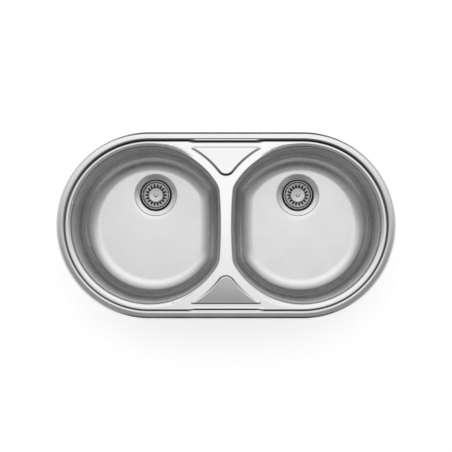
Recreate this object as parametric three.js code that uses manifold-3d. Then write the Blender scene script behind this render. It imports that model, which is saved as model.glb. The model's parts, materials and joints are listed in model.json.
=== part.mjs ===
// Double bowl inset sink in stainless steel, in millimetres, +Z up and +Y to the rear.
// The origin is the centre of the outline in the plane of the worktop that carries the rim.
import * as THREE from 'three';
import { mergeVertices } from 'three/addons/utils/BufferGeometryUtils.js';
import Module from 'manifold-3d';

const wasm = await Module();
wasm.setup();

// ---------------------------------------------------------------- driving dimensions
const GAP = 0.3;                  // clearance between pieces that touch
const SEAT_GAP = 0.45;            // the same where a round piece lies on a faceted dish
const RUN = 0.3;                  // running clearance round a turning or sliding pin

const SHEET = 0.8;                // thickness of the pressed steel sheet
const OUTLINE_R = 236;            // radius of the two round ends of the sink
const LIP_BOTTOM = 0.3;           // lower edge of the turned-down outer lip
const LIP_ROUND = 4.5;            // rounding of the outer edge
const RIM_EDGE_Z = 6;             // top of the rim band at its outer edge
const RIM_CREST_Z = 6.8;          // top of the rim band at its inner edge
const BAND_END = 18;              // inward distance where the first step starts
const STEP_RUN = 3;               // plan width of each step
const LEDGE_Z = 4;                // narrow ledge between the two steps
const LEDGE_WIDTH = 4;
const DECK_Z = 1;                 // top of the deck between the bowls

const RING_WIDTH = 10.5;          // deck left between the second step and each bowl opening
const BRIDGE_HALF = 16.5;         // half of the bridge between the openings
const BRIDGE_CUT = 20;            // how far the bridge cuts into the circle of each opening
const BRIDGE_ARC_R = 1100;        // shallow arc of each opening along the bridge
const CORNER_R = 50;              // soft corner between that arc and the circle
const BEAD_R = 4.5;               // rounding from the deck into the bowl
const COLLAR_DEPTH = 12;          // lower edge of the deck's collar, where the bowl is welded on
const BOWL_DEPTH = 165;           // deck top to the seat of the waste flange
const DRAFT = 4;                  // degrees, slope of the bowl wall
const FLOOR_R = 46;               // fillet between wall and floor
const FLOOR_FALL = 0.018;         // fall of the floor towards the waste
const WASTE_SHIFT = 4;            // waste axis from the bowl's centre, towards the bridge
const WASTE_FROM_WALL = 116.5;    // waste axis from the rear of the bowl opening

const PLATFORM_MARGIN = 22.5;     // distance of a tap platform from the bowl openings
const PLATFORM_EDGE = 8;          // straight side of the platform, from the second step
const PLATFORM_APEX_R = 25;
const PLATFORM_TIP_R = 4;
const PLATFORM_RISE = 1.2;        // height of its straight side above the deck
const PLATFORM_FALL = 0.0425;     // fall of its top towards that side
const PLATFORM_SLOPE = 3.2;       // plan width of the platform's sloping side
const BAR_HALF = 85;              // raised bar in the ledge, in line with the platform
const BAR_HEIGHT = 0.6;
const BAR_SLOPE = 0.4;

const CUP_R = 43;                 // bore of the cup that holds the basket
const HOLE_MARGIN = 1.3;          // usual waste hole of 90 mm, round the cup
const FLANGE_WIDTH = 10.2;        // waste flange outside that hole
const FLANGE_SHEET = 1;
const FLANGE_DISH = 3;            // fall of the flange and its seat towards the waste hole
const RECESS_MARGIN = 2.3;        // recess in the bowl's floor, round the flange
const RECESS_RUN = 1;             // plan width of the recess's edge
const SEAL_THICK = 1.5;           // space for the seal between flange and bowl
const SEAL_MARGIN = 1.5;          // seal inside the flange's edge
const CUP_DEPTH = 28;             // flange edge to the bottom of the cup
const CUP_ROUND = 12;             // plan width of the rounding at the foot of the cup
const DRAIN_R = 23;               // outer edge of the drain slots in the cup
const DRAIN_SLOTS = 6;
const CUP_DIMPLE_R = 8;           // dimple for the head of the centre screw
const CUP_DIMPLE_DEPTH = 4.2;
const DRAIN_IN = 12;              // inner edge of the drain slots
const DRAIN_LAND = 7.2;           // half of the web between two of them, in degrees
const CUT = 1;                    // how far a cutting solid runs past what it cuts

const BASKET_ROOM = 5;            // basket rim inside the cup
const BASKET_SHEET = 0.8;
const BASKET_TOP = 4.5;           // basket rim below the flange edge
const BASKET_SLOPE = 8.5;         // bead round the basket's floor, inside its rim
const BASKET_HEIGHT = 11;
const WEDGE_SLOTS = 18;
const WEDGE_END = 1.9;            // wedge slots end inside the bead
const WEDGE_LENGTH = 12.9;
const WEDGE_LAND = 1;             // web between two of them at the inner end
const WEDGE_TIP = 1.3;            // its width at the outer end
const WALL_SLOTS = 18;
const WALL_SLOT_WIDTH = 2;
const WALL_SLOT_FOOT = 3.4;       // its foot outside the bead
const WALL_SLOT_HEAD = 3;         // its head inside the rim
const BASKET_LIP = 2.4;           // height of the basket's turned rim
const KNOB_R = 19.5;
const KNOB_THICK = 2.4;
const KNOB_NECK_R = 6;
const KNOB_NECK = 6;              // finger room under the knob's disc
const PIP_R = 3.6;
const STEM_R = 3;
const STOPPER_ROOM = 3.5;         // stopper inside the flat of the cup's bottom
const STOPPER_THICK = 3;

const UPPER_SEAL_IN = 1;          // seal under the flange, outside the waste hole
const LOWER_SEAL_IN = 2;          // seal under the bowl, outside the waste hole
const BODY_MARGIN = 2.5;          // flange of the moulded waste body, inside the steel one
const BODY_LIP = 3;               // thickness of that flange
const BODY_WALL = 2.5;
const BODY_ROOM = 0.6;            // cup inside the body's bell
const BELL_STRAIGHT = 20;         // straight part of the bell's wall
const BELL_TAPER = 10;            // the taper below it
const BELL_STEP = 5;              // plan width of that taper
const SPIGOT_NECK = 3;            // thicker neck above the spigot
const BODY_DEPTH = 42;            // its bell, below the lower seal
const LOWER_SEAL_THICK = 3;
const SPIGOT_R = 23.9;            // 1 1/2 inch thread
const SPIGOT_LENGTH = 26;
const SPIDER_HEIGHT = 7;
const SPIDER_WIDTH = 4;
const SPIDER_BOSS_R = 7;
const SCREW_R = 3;
const SCREW_HEAD_R = 5.5;
const SCREW_HEAD = 3.2;

const GASKET_IN = 4;              // rim gasket, distance from the outer edge
const GASKET_WIDTH = 8;

const PAD_R = 62;                 // sound-deadening pad under each bowl
const PAD_THICK = 2.5;
const PAD_MARGIN = 3.2;           // pad in front of the waste's recess

const BRACKET_D = 22.5;           // bracket plate, inward distance from the outer edge
const BRACKET_SHEET = 1.5;
const BRACKET_WIDTH = 22;
const SHELF_Z = -22;              // underside of the bracket's shelf
const SHELF_REACH = 12;
const CLIP_DROP = 30;             // clip below the shelf when it is slack
const CLIP_SHEET = 2;
const CLIP_WIDTH = 14;
const CLIP_LENGTH = 38;
const CLIP_HOOK = 8;
const CLIP_SCREW_R = 2.5;
const CLIP_SCREW_TOP = -18;
const CLIP_HEAD_R = 5;
const CLIP_HEAD = 4;
const CLIP_SIDE_X = 112;          // clips on the straight sides
const CLIP_END_ANGLE = 45;        // clips on the round ends, degrees from the long axis

const END_STEPS = 18;             // segments of each round end
const BOWL_STEPS = 22;            // segments of a bowl's large arc
const CORNER_STEPS = 3;
const BRIDGE_STEPS = 3;
const BASKET_STEPS = 18;
const CUP_STEPS = 24;
const BODY_STEPS = 20;
const SEAL_STEPS = 20;
const SCREW_STEPS = 8;

// Inward distances from the outline, and what hangs on them.
const firstStepEnd = BAND_END + STEP_RUN;
const ledgeEnd = firstStepEnd + LEDGE_WIDTH;
const deckStart = ledgeEnd + STEP_RUN;
const bowlR = OUTLINE_R - deckStart - RING_WIDTH;
const centreX = bowlR + BRIDGE_HALF - BRIDGE_CUT;   // end arcs and bowls are struck from here
const platformBaseY = OUTLINE_R - deckStart - PLATFORM_EDGE;
const wasteX = centreX - WASTE_SHIFT;
const wasteY = bowlR - WASTE_FROM_WALL;

// Radii of the waste, from the cup's bore outwards and inwards.
const cupOuter = CUP_R + FLANGE_SHEET;
const wasteHoleR = cupOuter + HOLE_MARGIN;
const flangeR = wasteHoleR + FLANGE_WIDTH;
const flangeRecessR = flangeR + RECESS_MARGIN;
const upperSealIn = wasteHoleR + UPPER_SEAL_IN;
const lowerSealIn = wasteHoleR + LOWER_SEAL_IN;
const bodyFlangeR = flangeR - BODY_MARGIN;
const cupBottomR = CUP_R - CUP_ROUND;
const stopperR = cupBottomR - STOPPER_ROOM;
const basketR = CUP_R - BASKET_ROOM;
const basketBeadR = basketR - BASKET_SLOPE;
const wedgeOut = basketBeadR - WEDGE_END;
const wedgeIn = wedgeOut - WEDGE_LENGTH;
const wedgeWidth = 2 * wedgeIn * Math.tan(Math.PI / WEDGE_SLOTS) - WEDGE_LAND;
const padY = wasteY - flangeRecessR - PAD_MARGIN - PAD_R;

const rad = THREE.MathUtils.degToRad;
const deg = THREE.MathUtils.radToDeg;

// ---------------------------------------------------------------- materials
const finish = (color, roughness, metalness) =>
  new THREE.MeshStandardMaterial({ color, roughness, metalness });
const satinSteel = () => finish(0xc9cacb, 0.34, 1);
const brightSteel = () => finish(0xd4d5d6, 0.16, 1);
const zincSteel = () => finish(0xb4b8bb, 0.45, 1);
const blackRubber = () => finish(0x1d1e1f, 0.85, 0);
const greyRubber = () => finish(0x55585a, 0.9, 0);
const whitePlastic = () => finish(0xe4e5e3, 0.5, 0);

// ---------------------------------------------------------------- geometry helpers
const group = new THREE.Group();

function add(name, geometry, material) {
  const mesh = new THREE.Mesh(geometry, material);
  mesh.name = name;
  group.add(mesh);
  return mesh;
}

function toSolid(geometry) {
  const plain = geometry.index ? geometry.toNonIndexed() : geometry.clone();
  plain.deleteAttribute('normal');
  plain.deleteAttribute('uv');
  const merged = mergeVertices(plain, 1e-4);
  const mesh = new wasm.Mesh({
    numProp: 3,
    vertProperties: new Float32Array(merged.attributes.position.array),
    triVerts: new Uint32Array(merged.index.array),
  });
  return new wasm.Manifold(mesh);
}

function toGeometry(solid) {
  const mesh = solid.getMesh();
  const geometry = new THREE.BufferGeometry();
  geometry.setAttribute('position', new THREE.BufferAttribute(mesh.vertProperties, 3));
  geometry.setIndex(new THREE.BufferAttribute(mesh.triVerts, 1));
  geometry.computeVertexNormals();
  return geometry;
}

function signedVolume(points, faces) {
  let sum = 0;
  for (const [a, b, c] of faces) sum += points[a].dot(points[b].clone().cross(points[c]));
  return sum / 6;
}

function closedGeometry(points, faces) {
  const outward = signedVolume(points, faces) > 0;
  const order = outward ? faces : faces.map(([a, b, c]) => [a, c, b]);
  const geometry = new THREE.BufferGeometry();
  const position = points.flatMap((p) => [p.x, p.y, p.z]);
  geometry.setAttribute('position', new THREE.Float32BufferAttribute(position, 3));
  geometry.setIndex(order.flat());
  geometry.computeVertexNormals();
  return geometry;
}

// Joins rings of equal count, one after another. A closed run returns to its first ring;
// an open one is capped at both ends.
function loft(rings, closed = true) {
  const count = rings[0].length;
  const points = rings.flat();
  const faces = [];
  const last = closed ? rings.length : rings.length - 1;
  for (let r = 0; r < last; r += 1) {
    const low = r * count;
    const high = ((r + 1) % rings.length) * count;
    for (let i = 0; i < count; i += 1) {
      const j = (i + 1) % count;
      faces.push([low + i, low + j, high + j], [low + i, high + j, high + i]);
    }
  }
  if (!closed) {
    const flat = rings[0].map((p) => new THREE.Vector2(p.x, p.y));
    const top = (rings.length - 1) * count;
    for (const [a, b, c] of THREE.ShapeUtils.triangulateShape(flat, [])) {
      faces.push([a, c, b], [top + a, top + b, top + c]);
    }
  }
  return closedGeometry(points, faces);
}

// Gives an open profile of sheet metal its thickness, on the right of its direction.
function thicken(profile, thickness) {
  const back = profile.map((p, i) => {
    const before = profile[Math.max(i - 1, 0)];
    const after = profile[Math.min(i + 1, profile.length - 1)];
    const inDir = i > 0 ? p.clone().sub(before).normalize() : after.clone().sub(p).normalize();
    const outDir = i < profile.length - 1 ? after.clone().sub(p).normalize() : inDir;
    const mid = inDir.clone().add(outDir).normalize();
    const stretch = thickness / Math.max(mid.dot(inDir), 0.5);
    return new THREE.Vector2(p.x + mid.y * stretch, p.y - mid.x * stretch);
  });
  return [...profile, ...back.reverse()];
}

function arcPoints(cx, cy, radius, from, to, steps) {
  const points = [];
  for (let i = 0; i <= steps; i += 1) {
    const angle = rad(from + ((to - from) * i) / steps);
    points.push(new THREE.Vector2(cx + radius * Math.cos(angle), cy + radius * Math.sin(angle)));
  }
  return points;
}

const v2 = (x, y) => new THREE.Vector2(x, y);
const at = (ring, z) => ring.map((p) => new THREE.Vector3(p.x, p.y, z));

// Turns a closed profile of (radius, height) about a vertical axis. The first corner lies at
// a share of a step round from +X.
function turned(profile, steps, first = 0) {
  return loft(
    profile.map((p) => {
      const ring = [];
      for (let i = 0; i < steps; i += 1) {
        const angle = (2 * Math.PI * (i + first)) / steps;
        ring.push(new THREE.Vector3(p.x * Math.cos(angle), p.x * Math.sin(angle), p.y));
      }
      return ring;
    }),
  );
}

// Turns a profile that starts and ends on the axis.
function turnedSolid(profile, steps) {
  const lathe = new THREE.LatheGeometry(profile, steps);
  lathe.rotateX(Math.PI / 2);
  lathe.deleteAttribute('normal');
  lathe.deleteAttribute('uv');
  return mergeVertices(lathe, 1e-4);
}

function box(x0, x1, y0, y1, z0, z1) {
  const geometry = new THREE.BoxGeometry(x1 - x0, y1 - y0, z1 - z0);
  geometry.translate((x0 + x1) / 2, (y0 + y1) / 2, (z0 + z1) / 2);
  return geometry;
}

// ---------------------------------------------------------------- outlines in plan
// The sink's own outline, moved inwards by a distance.
function sinkOutline(inset) {
  const radius = OUTLINE_R - inset;
  return [
    ...arcPoints(centreX, 0, radius, -90, 90, END_STEPS),
    ...arcPoints(-centreX, 0, radius, 90, 270, END_STEPS),
  ];
}

// The opening of one bowl, moved inwards by a distance: a large arc, a shallow arc along
// the bridge and a soft corner at each end of it. The side is +1 for right, -1 for left.
function bowlOutline(side, inset) {
  const large = bowlR - inset;
  const shallow = BRIDGE_ARC_R - inset;
  const corner = CORNER_R + Math.max(0, -inset);
  const shallowX = BRIDGE_HALF + BRIDGE_ARC_R;
  const apart = shallowX - centreX;
  const fromLarge = large - corner;
  const fromShallow = shallow - corner;
  const along = (fromLarge ** 2 - fromShallow ** 2 + apart ** 2) / (2 * apart);
  const cornerX = centreX + along;
  const cornerY = Math.sqrt(fromLarge ** 2 - along ** 2);
  const largeEnd = deg(Math.atan2(cornerY, along));
  const shallowEnd = deg(Math.atan2(cornerY, cornerX - shallowX));
  const points = [
    ...arcPoints(centreX, 0, large, -largeEnd, largeEnd, BOWL_STEPS).slice(0, -1),
    ...arcPoints(cornerX, cornerY, corner, largeEnd, shallowEnd, CORNER_STEPS).slice(0, -1),
    ...arcPoints(shallowX, 0, shallow, shallowEnd, 360 - shallowEnd, BRIDGE_STEPS).slice(0, -1),
    ...arcPoints(cornerX, -cornerY, corner, 360 - shallowEnd, 360 - largeEnd, CORNER_STEPS)
      .slice(0, -1),
  ];
  return side > 0 ? points : points.map((p) => v2(-p.x, p.y)).reverse();
}

// The tap platform between the bowls, at the rear (+1) or the front (-1). Its sides run
// beside the bowl openings.
function platformOutline(end, inset) {
  const side = bowlR + PLATFORM_MARGIN + inset;
  const apex = PLATFORM_APEX_R - inset;
  const tip = PLATFORM_TIP_R - inset / 2;
  const base = platformBaseY - inset / 2;
  const apexY = Math.sqrt((side + apex) ** 2 - centreX ** 2);
  const tipX = centreX - Math.sqrt((side + tip) ** 2 - (base - tip) ** 2);
  const toApex = deg(Math.atan2(apexY, centreX));
  const toTip = deg(Math.atan2(base - tip, centreX - tipX));
  const right = [
    ...arcPoints(0, apexY, apex, -90, -toApex, 3),
    ...arcPoints(centreX, 0, side, 180 - toApex, 180 - toTip, 6).slice(1),
    ...arcPoints(tipX, base - tip, tip, -toTip, 90, 3).slice(1),
  ];
  const left = right.slice(1).reverse().map((p) => v2(-p.x, p.y));
  const points = [...right, ...left];
  return end > 0 ? points : points.map((p) => v2(p.x, -p.y)).reverse();
}

// A flat plate between two heights, from its plan, with holes if there are any.
function plate(ring, z0, z1, holes = []) {
  const shape = new THREE.Shape(ring);
  shape.holes.push(...holes.map((hole) => new THREE.Path(hole)));
  const geometry = new THREE.ExtrudeGeometry(shape, { depth: z1 - z0, bevelEnabled: false });
  return geometry.translate(0, 0, z0);
}

const sweep = (outline, section) => loft(section.map((p) => at(outline(p.x), p.y)));

// ---------------------------------------------------------------- deck
const deckBottom = DECK_Z - SHEET;
const ledgeBottom = LEDGE_Z - SHEET;
const OVERLAP = 1.5;              // how far the deck's pieces run into each other before joining

const rimProfile = [
  v2(0, LIP_BOTTOM),
  ...arcPoints(LIP_ROUND, RIM_EDGE_Z - LIP_ROUND, LIP_ROUND, 180, 90, 3),
  v2(BAND_END, RIM_CREST_Z),
  v2(firstStepEnd, LEDGE_Z),
  v2(ledgeEnd, LEDGE_Z),
  v2(deckStart, DECK_Z),
  v2(deckStart + OVERLAP, DECK_Z),
];

// Section of the bead, with the distance measured outwards from the bowl opening.
const beadProfile = [
  v2(-BEAD_R - OVERLAP, DECK_Z),
  ...arcPoints(-BEAD_R, DECK_Z - BEAD_R, BEAD_R, 90, 0, 2),
  v2(0, -COLLAR_DEPTH),
];

// A platform as a solid whose upper face lies a given depth below the sheet's.
function platformSolid(end, inset, depth) {
  const foot = platformOutline(end, inset);
  const top = platformOutline(end, inset + PLATFORM_SLOPE).map((p) => {
    const rise = PLATFORM_RISE + PLATFORM_FALL * (platformBaseY - Math.abs(p.y));
    return new THREE.Vector3(p.x, p.y, DECK_Z + rise - depth);
  });
  return toSolid(loft([
    at(foot, deckBottom - depth),
    at(foot, DECK_Z - depth),
    top,
  ], false));
}

// Low raised bar in the ledge, as long as the platform's straight side.
function ledgeBar(end) {
  const ring = (inset) => {
    const outer = OUTLINE_R - firstStepEnd - inset;
    const inner = OUTLINE_R - ledgeEnd + inset;
    const half = BAR_HALF - inset;
    const points = [v2(-half, inner), v2(half, inner), v2(half, outer), v2(-half, outer)];
    return end > 0 ? points : points.map((p) => v2(p.x, -p.y)).reverse();
  };
  return toSolid(loft([
    at(ring(BAR_SLOPE), LEDGE_Z - SHEET / 2),
    at(ring(BAR_SLOPE), LEDGE_Z),
    at(ring(2 * BAR_SLOPE), LEDGE_Z + BAR_HEIGHT),
  ], false));
}

function deckPlate() {
  const holes = [1, -1].map((side) => bowlOutline(side, -BEAD_R));
  return toSolid(plate(sinkOutline(deckStart), deckBottom, DECK_Z, holes));
}

function sinkDeck() {
  let deck = toSolid(sweep(sinkOutline, thicken(rimProfile, SHEET)));
  deck = deck.add(deckPlate());
  for (const side of [1, -1]) {
    deck = deck.add(toSolid(sweep((s) => bowlOutline(side, s), thicken(beadProfile, SHEET))));
  }
  for (const end of [1, -1]) {
    deck = deck.add(platformSolid(end, 0, 0));
    deck = deck.add(ledgeBar(end));
  }
  for (const end of [1, -1]) {
    deck = deck.subtract(platformSolid(end, SHEET, SHEET));
  }
  return toGeometry(deck);
}

add('sink_deck', sinkDeck(), satinSteel());

// ---------------------------------------------------------------- bowls
const floorEdgeZ = DECK_Z - BOWL_DEPTH;         // floor at the edge of the waste recess
const wallTop = -COLLAR_DEPTH - GAP;
const flangeTop = SEAL_THICK + FLANGE_SHEET;    // above the seat at the flange's edge
const seatZ = floorEdgeZ - flangeTop;

// Fall of the dished seat at a radius from the waste's axis.
const coneZ = (radius) => (FLANGE_DISH * (radius - flangeR)) / (flangeR - wasteHoleR);
const wallSlope = Math.tan(rad(DRAFT));
const filletTangent = FLOOR_R * Math.tan(rad((90 - DRAFT) / 2));
const wallRun = (wallTop - floorEdgeZ) * wallSlope;
const floorInset = wallRun + filletTangent;     // plan distance from the opening to the floor

const bowlProfile = [
  v2(0, wallTop),
  ...arcPoints(floorInset, floorEdgeZ + FLOOR_R, FLOOR_R, 180 + DRAFT, 270, 4),
];

// Height of the floor's upper face above its lowest edge, rising away from the waste.
function floorRise(side, point) {
  const distance = Math.hypot(point.x - side * wasteX, point.y - wasteY);
  return Math.max(0, distance - flangeRecessR) * FLOOR_FALL;
}

function wasteCircle(side, outline, radius) {
  return outline.map((p) => {
    const dx = p.x - side * wasteX;
    const dy = p.y - wasteY;
    const scale = radius / Math.hypot(dx, dy);
    return v2(side * wasteX + dx * scale, wasteY + dy * scale);
  });
}

// One face of the bowl as rings: the wall and fillet, the falling floor, the recess for the
// waste flange and the waste hole.
function bowlFace(side, profile, drop) {
  const rings = profile.map((p) => {
    const blend = Math.min(1, Math.max(0, (wallTop - p.y) / (wallTop - floorEdgeZ)));
    return bowlOutline(side, p.x).map(
      (q) => new THREE.Vector3(q.x, q.y, p.y + floorRise(side, q) * blend),
    );
  });
  const edge = bowlOutline(side, floorInset);
  rings.push(at(wasteCircle(side, edge, flangeRecessR), floorEdgeZ - drop));
  for (const radius of [flangeRecessR - RECESS_RUN, wasteHoleR]) {
    rings.push(at(wasteCircle(side, edge, radius), seatZ + coneZ(radius) - drop));
  }
  return rings;
}

function bowl(side) {
  const sheet = thicken(bowlProfile, SHEET);
  const inner = sheet.slice(0, bowlProfile.length);
  const outer = sheet.slice(bowlProfile.length).reverse();
  return loft([...bowlFace(side, inner, 0), ...bowlFace(side, outer, SHEET).reverse()]);
}

// Pad stuck to the underside of the floor, following its fall.
function soundPad(side) {
  const ring = (radius, below) => arcPoints(side * centreX, padY, radius, 0, 360, BODY_STEPS)
    .slice(0, -1)
    .map((q) => new THREE.Vector3(
      q.x, q.y, floorEdgeZ - SHEET - GAP + floorRise(side, q) - below,
    ));
  return loft([ring(PAD_R - 1, PAD_THICK), ring(PAD_R, PAD_THICK - 1), ring(PAD_R, 0)], false);
}

// ---------------------------------------------------------------- waste, drawn about its own axis
const cupBottom = flangeTop - CUP_DEPTH;
const flangeZ = (radius) => flangeTop + coneZ(radius);

const cupProfile = [
  v2(flangeR, flangeTop - 0.6),
  v2(flangeR - 1.2, flangeZ(flangeR - 1.2)),
  v2(CUP_R + 1.4, flangeZ(CUP_R + 1.4)),
  v2(CUP_R, flangeZ(CUP_R) - 1),
  v2(CUP_R - 2, cupBottom + 6),
  v2(cupBottomR, cupBottom),
  v2(CUP_DIMPLE_R, cupBottom),
  v2(CUP_DIMPLE_R - 1, cupBottom - CUP_DIMPLE_DEPTH),
  v2(SCREW_R + RUN, cupBottom - CUP_DIMPLE_DEPTH),
];

// A sector between two radii, used to cut slots.
function sector(inner, outer, from, to, z0, z1) {
  const ring = [...arcPoints(0, 0, outer, from, to, 3), ...arcPoints(0, 0, inner, to, from, 2)];
  return toSolid(plate(ring, z0, z1));
}

function strainerCup() {
  const section = thicken([...cupProfile].reverse(), FLANGE_SHEET);
  let cup = toSolid(turned(section, CUP_STEPS));
  const pitch = 360 / DRAIN_SLOTS;
  for (let i = 0; i < DRAIN_SLOTS; i += 1) {
    const from = i * pitch + DRAIN_LAND;
    const to = (i + 1) * pitch - DRAIN_LAND;
    const low = cupBottom - FLANGE_SHEET - CUT;
    cup = cup.subtract(sector(DRAIN_IN, DRAIN_R, from, to, low, cupBottom + CUT));
  }
  return toGeometry(cup);
}

const basketRimZ = flangeTop - BASKET_TOP;
const basketFloor = basketRimZ - BASKET_HEIGHT;

const basketProfile = [
  v2(STEM_R + RUN, basketFloor),
  v2(wedgeOut + 0.7, basketFloor),
  v2(basketBeadR + 0.8, basketFloor + 1.4),
  v2(basketBeadR + 2.6, basketFloor + 0.9),
  v2(basketR - 2.4, basketRimZ - 2),
  v2(basketR - 1.4, basketRimZ),
  v2(basketR, basketRimZ - 0.8),
];

function wedge(angle, inner, outer, width, tip, z0, z1) {
  const ring = [
    v2(inner, -width / 2), v2(outer, -tip / 2), v2(outer, tip / 2), v2(inner, width / 2),
  ];
  return toSolid(plate(ring, z0, z1).rotateZ(rad(angle)));
}

function basket() {
  let shell = toSolid(turned(thicken(basketProfile, BASKET_SHEET), BASKET_STEPS, 0.5));
  for (let i = 0; i < WEDGE_SLOTS; i += 1) {
    const angle = (360 * i) / WEDGE_SLOTS;
    const low = basketFloor - BASKET_SHEET - CUT;
    shell = shell.subtract(
      wedge(angle, wedgeIn, wedgeOut, wedgeWidth, WEDGE_TIP, low, basketFloor + CUT),
    );
  }
  for (let i = 0; i < WALL_SLOTS; i += 1) {
    const angle = (360 * (i + 0.5)) / WALL_SLOTS;
    shell = shell.subtract(wedge(
      angle, basketBeadR + WALL_SLOT_FOOT, basketR - WALL_SLOT_HEAD,
      WALL_SLOT_WIDTH, WALL_SLOT_WIDTH, basketFloor - CUT, basketRimZ - BASKET_LIP,
    ));
  }
  return toGeometry(shell);
}

const knobBottom = basketFloor + GAP;
const discBottom = knobBottom + KNOB_NECK;
const discTop = discBottom + KNOB_THICK;
const stemTop = discBottom + 0.4;
const stopperBottom = cupBottom + GAP;
const stopperTop = stopperBottom + STOPPER_THICK;

function knob() {
  const bore = STEM_R + RUN;
  return turnedSolid([
    v2(0, stemTop + GAP),
    v2(bore, stemTop + GAP),
    v2(bore, knobBottom),
    v2(KNOB_NECK_R, knobBottom),
    v2(KNOB_NECK_R, discBottom),
    v2(KNOB_R - 0.6, discBottom),
    v2(KNOB_R, discBottom + 0.8),
    v2(KNOB_R - 1.4, discTop),
    v2(PIP_R + 1.5, discTop - 0.7),
    v2(PIP_R, discTop - 0.2),
    v2(PIP_R * 0.6, discTop + 1.6),
    v2(0, discTop + 2),
  ], BODY_STEPS);
}

// The stem carries the basket on a collar and ends in the stopper.
function stem() {
  const collarTop = basketFloor - BASKET_SHEET - GAP;
  return turnedSolid([
    v2(0, stopperTop + GAP),
    v2(STEM_R + 3, stopperTop + GAP),
    v2(STEM_R + 3, stopperTop + 1.6),
    v2(STEM_R + 0.8, stopperTop + 2.4),
    v2(STEM_R + 0.8, collarTop - 1.2),
    v2(STEM_R + 2.5, collarTop - 1.2),
    v2(STEM_R + 2.5, collarTop),
    v2(STEM_R, collarTop),
    v2(STEM_R, stemTop),
    v2(0, stemTop),
  ], SCREW_STEPS);
}

function stopper() {
  return turnedSolid([
    v2(0, stopperBottom),
    v2(stopperR - 1.5, stopperBottom),
    v2(stopperR, stopperBottom + 1),
    v2(stopperR - 0.8, stopperTop - 0.6),
    v2(stopperR - 5, stopperTop),
    v2(0, stopperTop),
  ], BODY_STEPS);
}

// Rubber ring that follows the dished seat.
function ringSeal(inner, outer, z0, z1) {
  const low = (radius, z) => v2(radius, z + coneZ(radius));
  return turned([low(inner, z0), low(outer, z0), low(outer, z1), low(inner, z1)], SEAL_STEPS);
}

const underZ = -SHEET;                           // underside of the recess
const bodyTop = underZ - GAP - LOWER_SEAL_THICK - GAP;
const bodyBottom = bodyTop - BODY_DEPTH;
const spigotEnd = bodyBottom - SPIGOT_LENGTH;
const spiderTop = cupBottom - CUP_DIMPLE_DEPTH - FLANGE_SHEET - GAP;
const screwTop = cupBottom - CUP_DIMPLE_DEPTH + GAP + SCREW_HEAD;

const bellInner = cupOuter + BODY_ROOM;
const bellOuter = bellInner + BODY_WALL;
const spigotInner = SPIGOT_R - BODY_WALL;
const bodyRim = bodyTop + coneZ(bodyFlangeR);
const taperTop = bodyTop - BELL_STRAIGHT;
const taperEnd = taperTop - BELL_TAPER;
const bellProfile = [
  v2(bodyFlangeR, bodyRim - BODY_LIP),
  v2(bodyFlangeR, bodyRim),
  v2(bellInner, bodyTop + coneZ(bellInner)),
  v2(bellInner, taperTop),
  v2(bellInner - BELL_STEP, taperEnd),
  v2(spigotInner, bodyBottom),
  v2(spigotInner, spigotEnd),
  v2(SPIGOT_R, spigotEnd),
  v2(SPIGOT_R, bodyBottom - BODY_WALL - SPIGOT_NECK / 2),
  v2(SPIGOT_R + SPIGOT_NECK, bodyBottom - BODY_WALL + SPIGOT_NECK / 2),
  v2(bellOuter - BELL_STEP, taperEnd - BODY_WALL),
  v2(bellOuter, taperTop - BODY_WALL / 2),
  v2(bellOuter, bodyRim - BODY_LIP),
];

// The moulded body holds the centre screw in a boss on three ribs.
function wasteBody() {
  let body = toSolid(turned([...bellProfile].reverse(), BODY_STEPS));
  const ribEnd = bellInner - BODY_WALL / 2;
  const spiderBottom = spiderTop - SPIDER_HEIGHT;
  let spider = toSolid(turnedSolid([
    v2(0, spiderBottom - 4), v2(SPIDER_BOSS_R, spiderBottom - 4), v2(SPIDER_BOSS_R, spiderTop),
    v2(0, spiderTop),
  ], BODY_STEPS));
  for (let i = 0; i < 3; i += 1) {
    const rib = box(0, ribEnd, -SPIDER_WIDTH / 2, SPIDER_WIDTH / 2, spiderBottom, spiderTop);
    rib.rotateZ(rad(90 + 120 * i));
    spider = spider.add(toSolid(rib));
  }
  body = body.add(spider);
  const bore = turnedSolid([
    v2(0, spiderBottom - 1), v2(SCREW_R + RUN, spiderBottom - 1), v2(SCREW_R + RUN, spiderTop + 1),
    v2(0, spiderTop + 1),
  ], SCREW_STEPS);
  return toGeometry(body.subtract(toSolid(bore)));
}

function centreScrew() {
  const head = screwTop - SCREW_HEAD;
  const end = spiderTop - SPIDER_HEIGHT - 1 + GAP;
  return turnedSolid([
    v2(0, end), v2(SCREW_R, end), v2(SCREW_R, head), v2(SCREW_HEAD_R, head),
    v2(SCREW_HEAD_R, screwTop - 1), v2(SCREW_HEAD_R - 1.2, screwTop), v2(0, screwTop),
  ], SCREW_STEPS);
}

function placeWaste(name, side, geometry, material) {
  add(name, geometry, material).position.set(side * wasteX, wasteY, seatZ);
}

for (const [label, side] of [['left', -1], ['right', 1]]) {
  add(`${label}_bowl`, bowl(side), satinSteel());
  add(`${label}_sound_pad`, soundPad(side), greyRubber());
  placeWaste(`${label}_strainer_cup`, side, strainerCup(), brightSteel());
  placeWaste(`${label}_upper_seal`, side,
    ringSeal(upperSealIn, flangeR - SEAL_MARGIN, SEAT_GAP, SEAL_THICK - GAP),
    blackRubber());
  placeWaste(`${label}_lower_seal`, side,
    ringSeal(lowerSealIn, bodyFlangeR, underZ - GAP - LOWER_SEAL_THICK, underZ - GAP),
    blackRubber());
  placeWaste(`${label}_waste_body`, side, wasteBody(), whitePlastic());
  placeWaste(`${label}_centre_screw`, side, centreScrew(), brightSteel());
  placeWaste(`${label}_stopper`, side, stopper(), blackRubber());
  placeWaste(`${label}_stem`, side, stem(), brightSteel());
  placeWaste(`${label}_basket`, side, basket(), brightSteel());
  placeWaste(`${label}_knob`, side, knob(), brightSteel());
}

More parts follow.
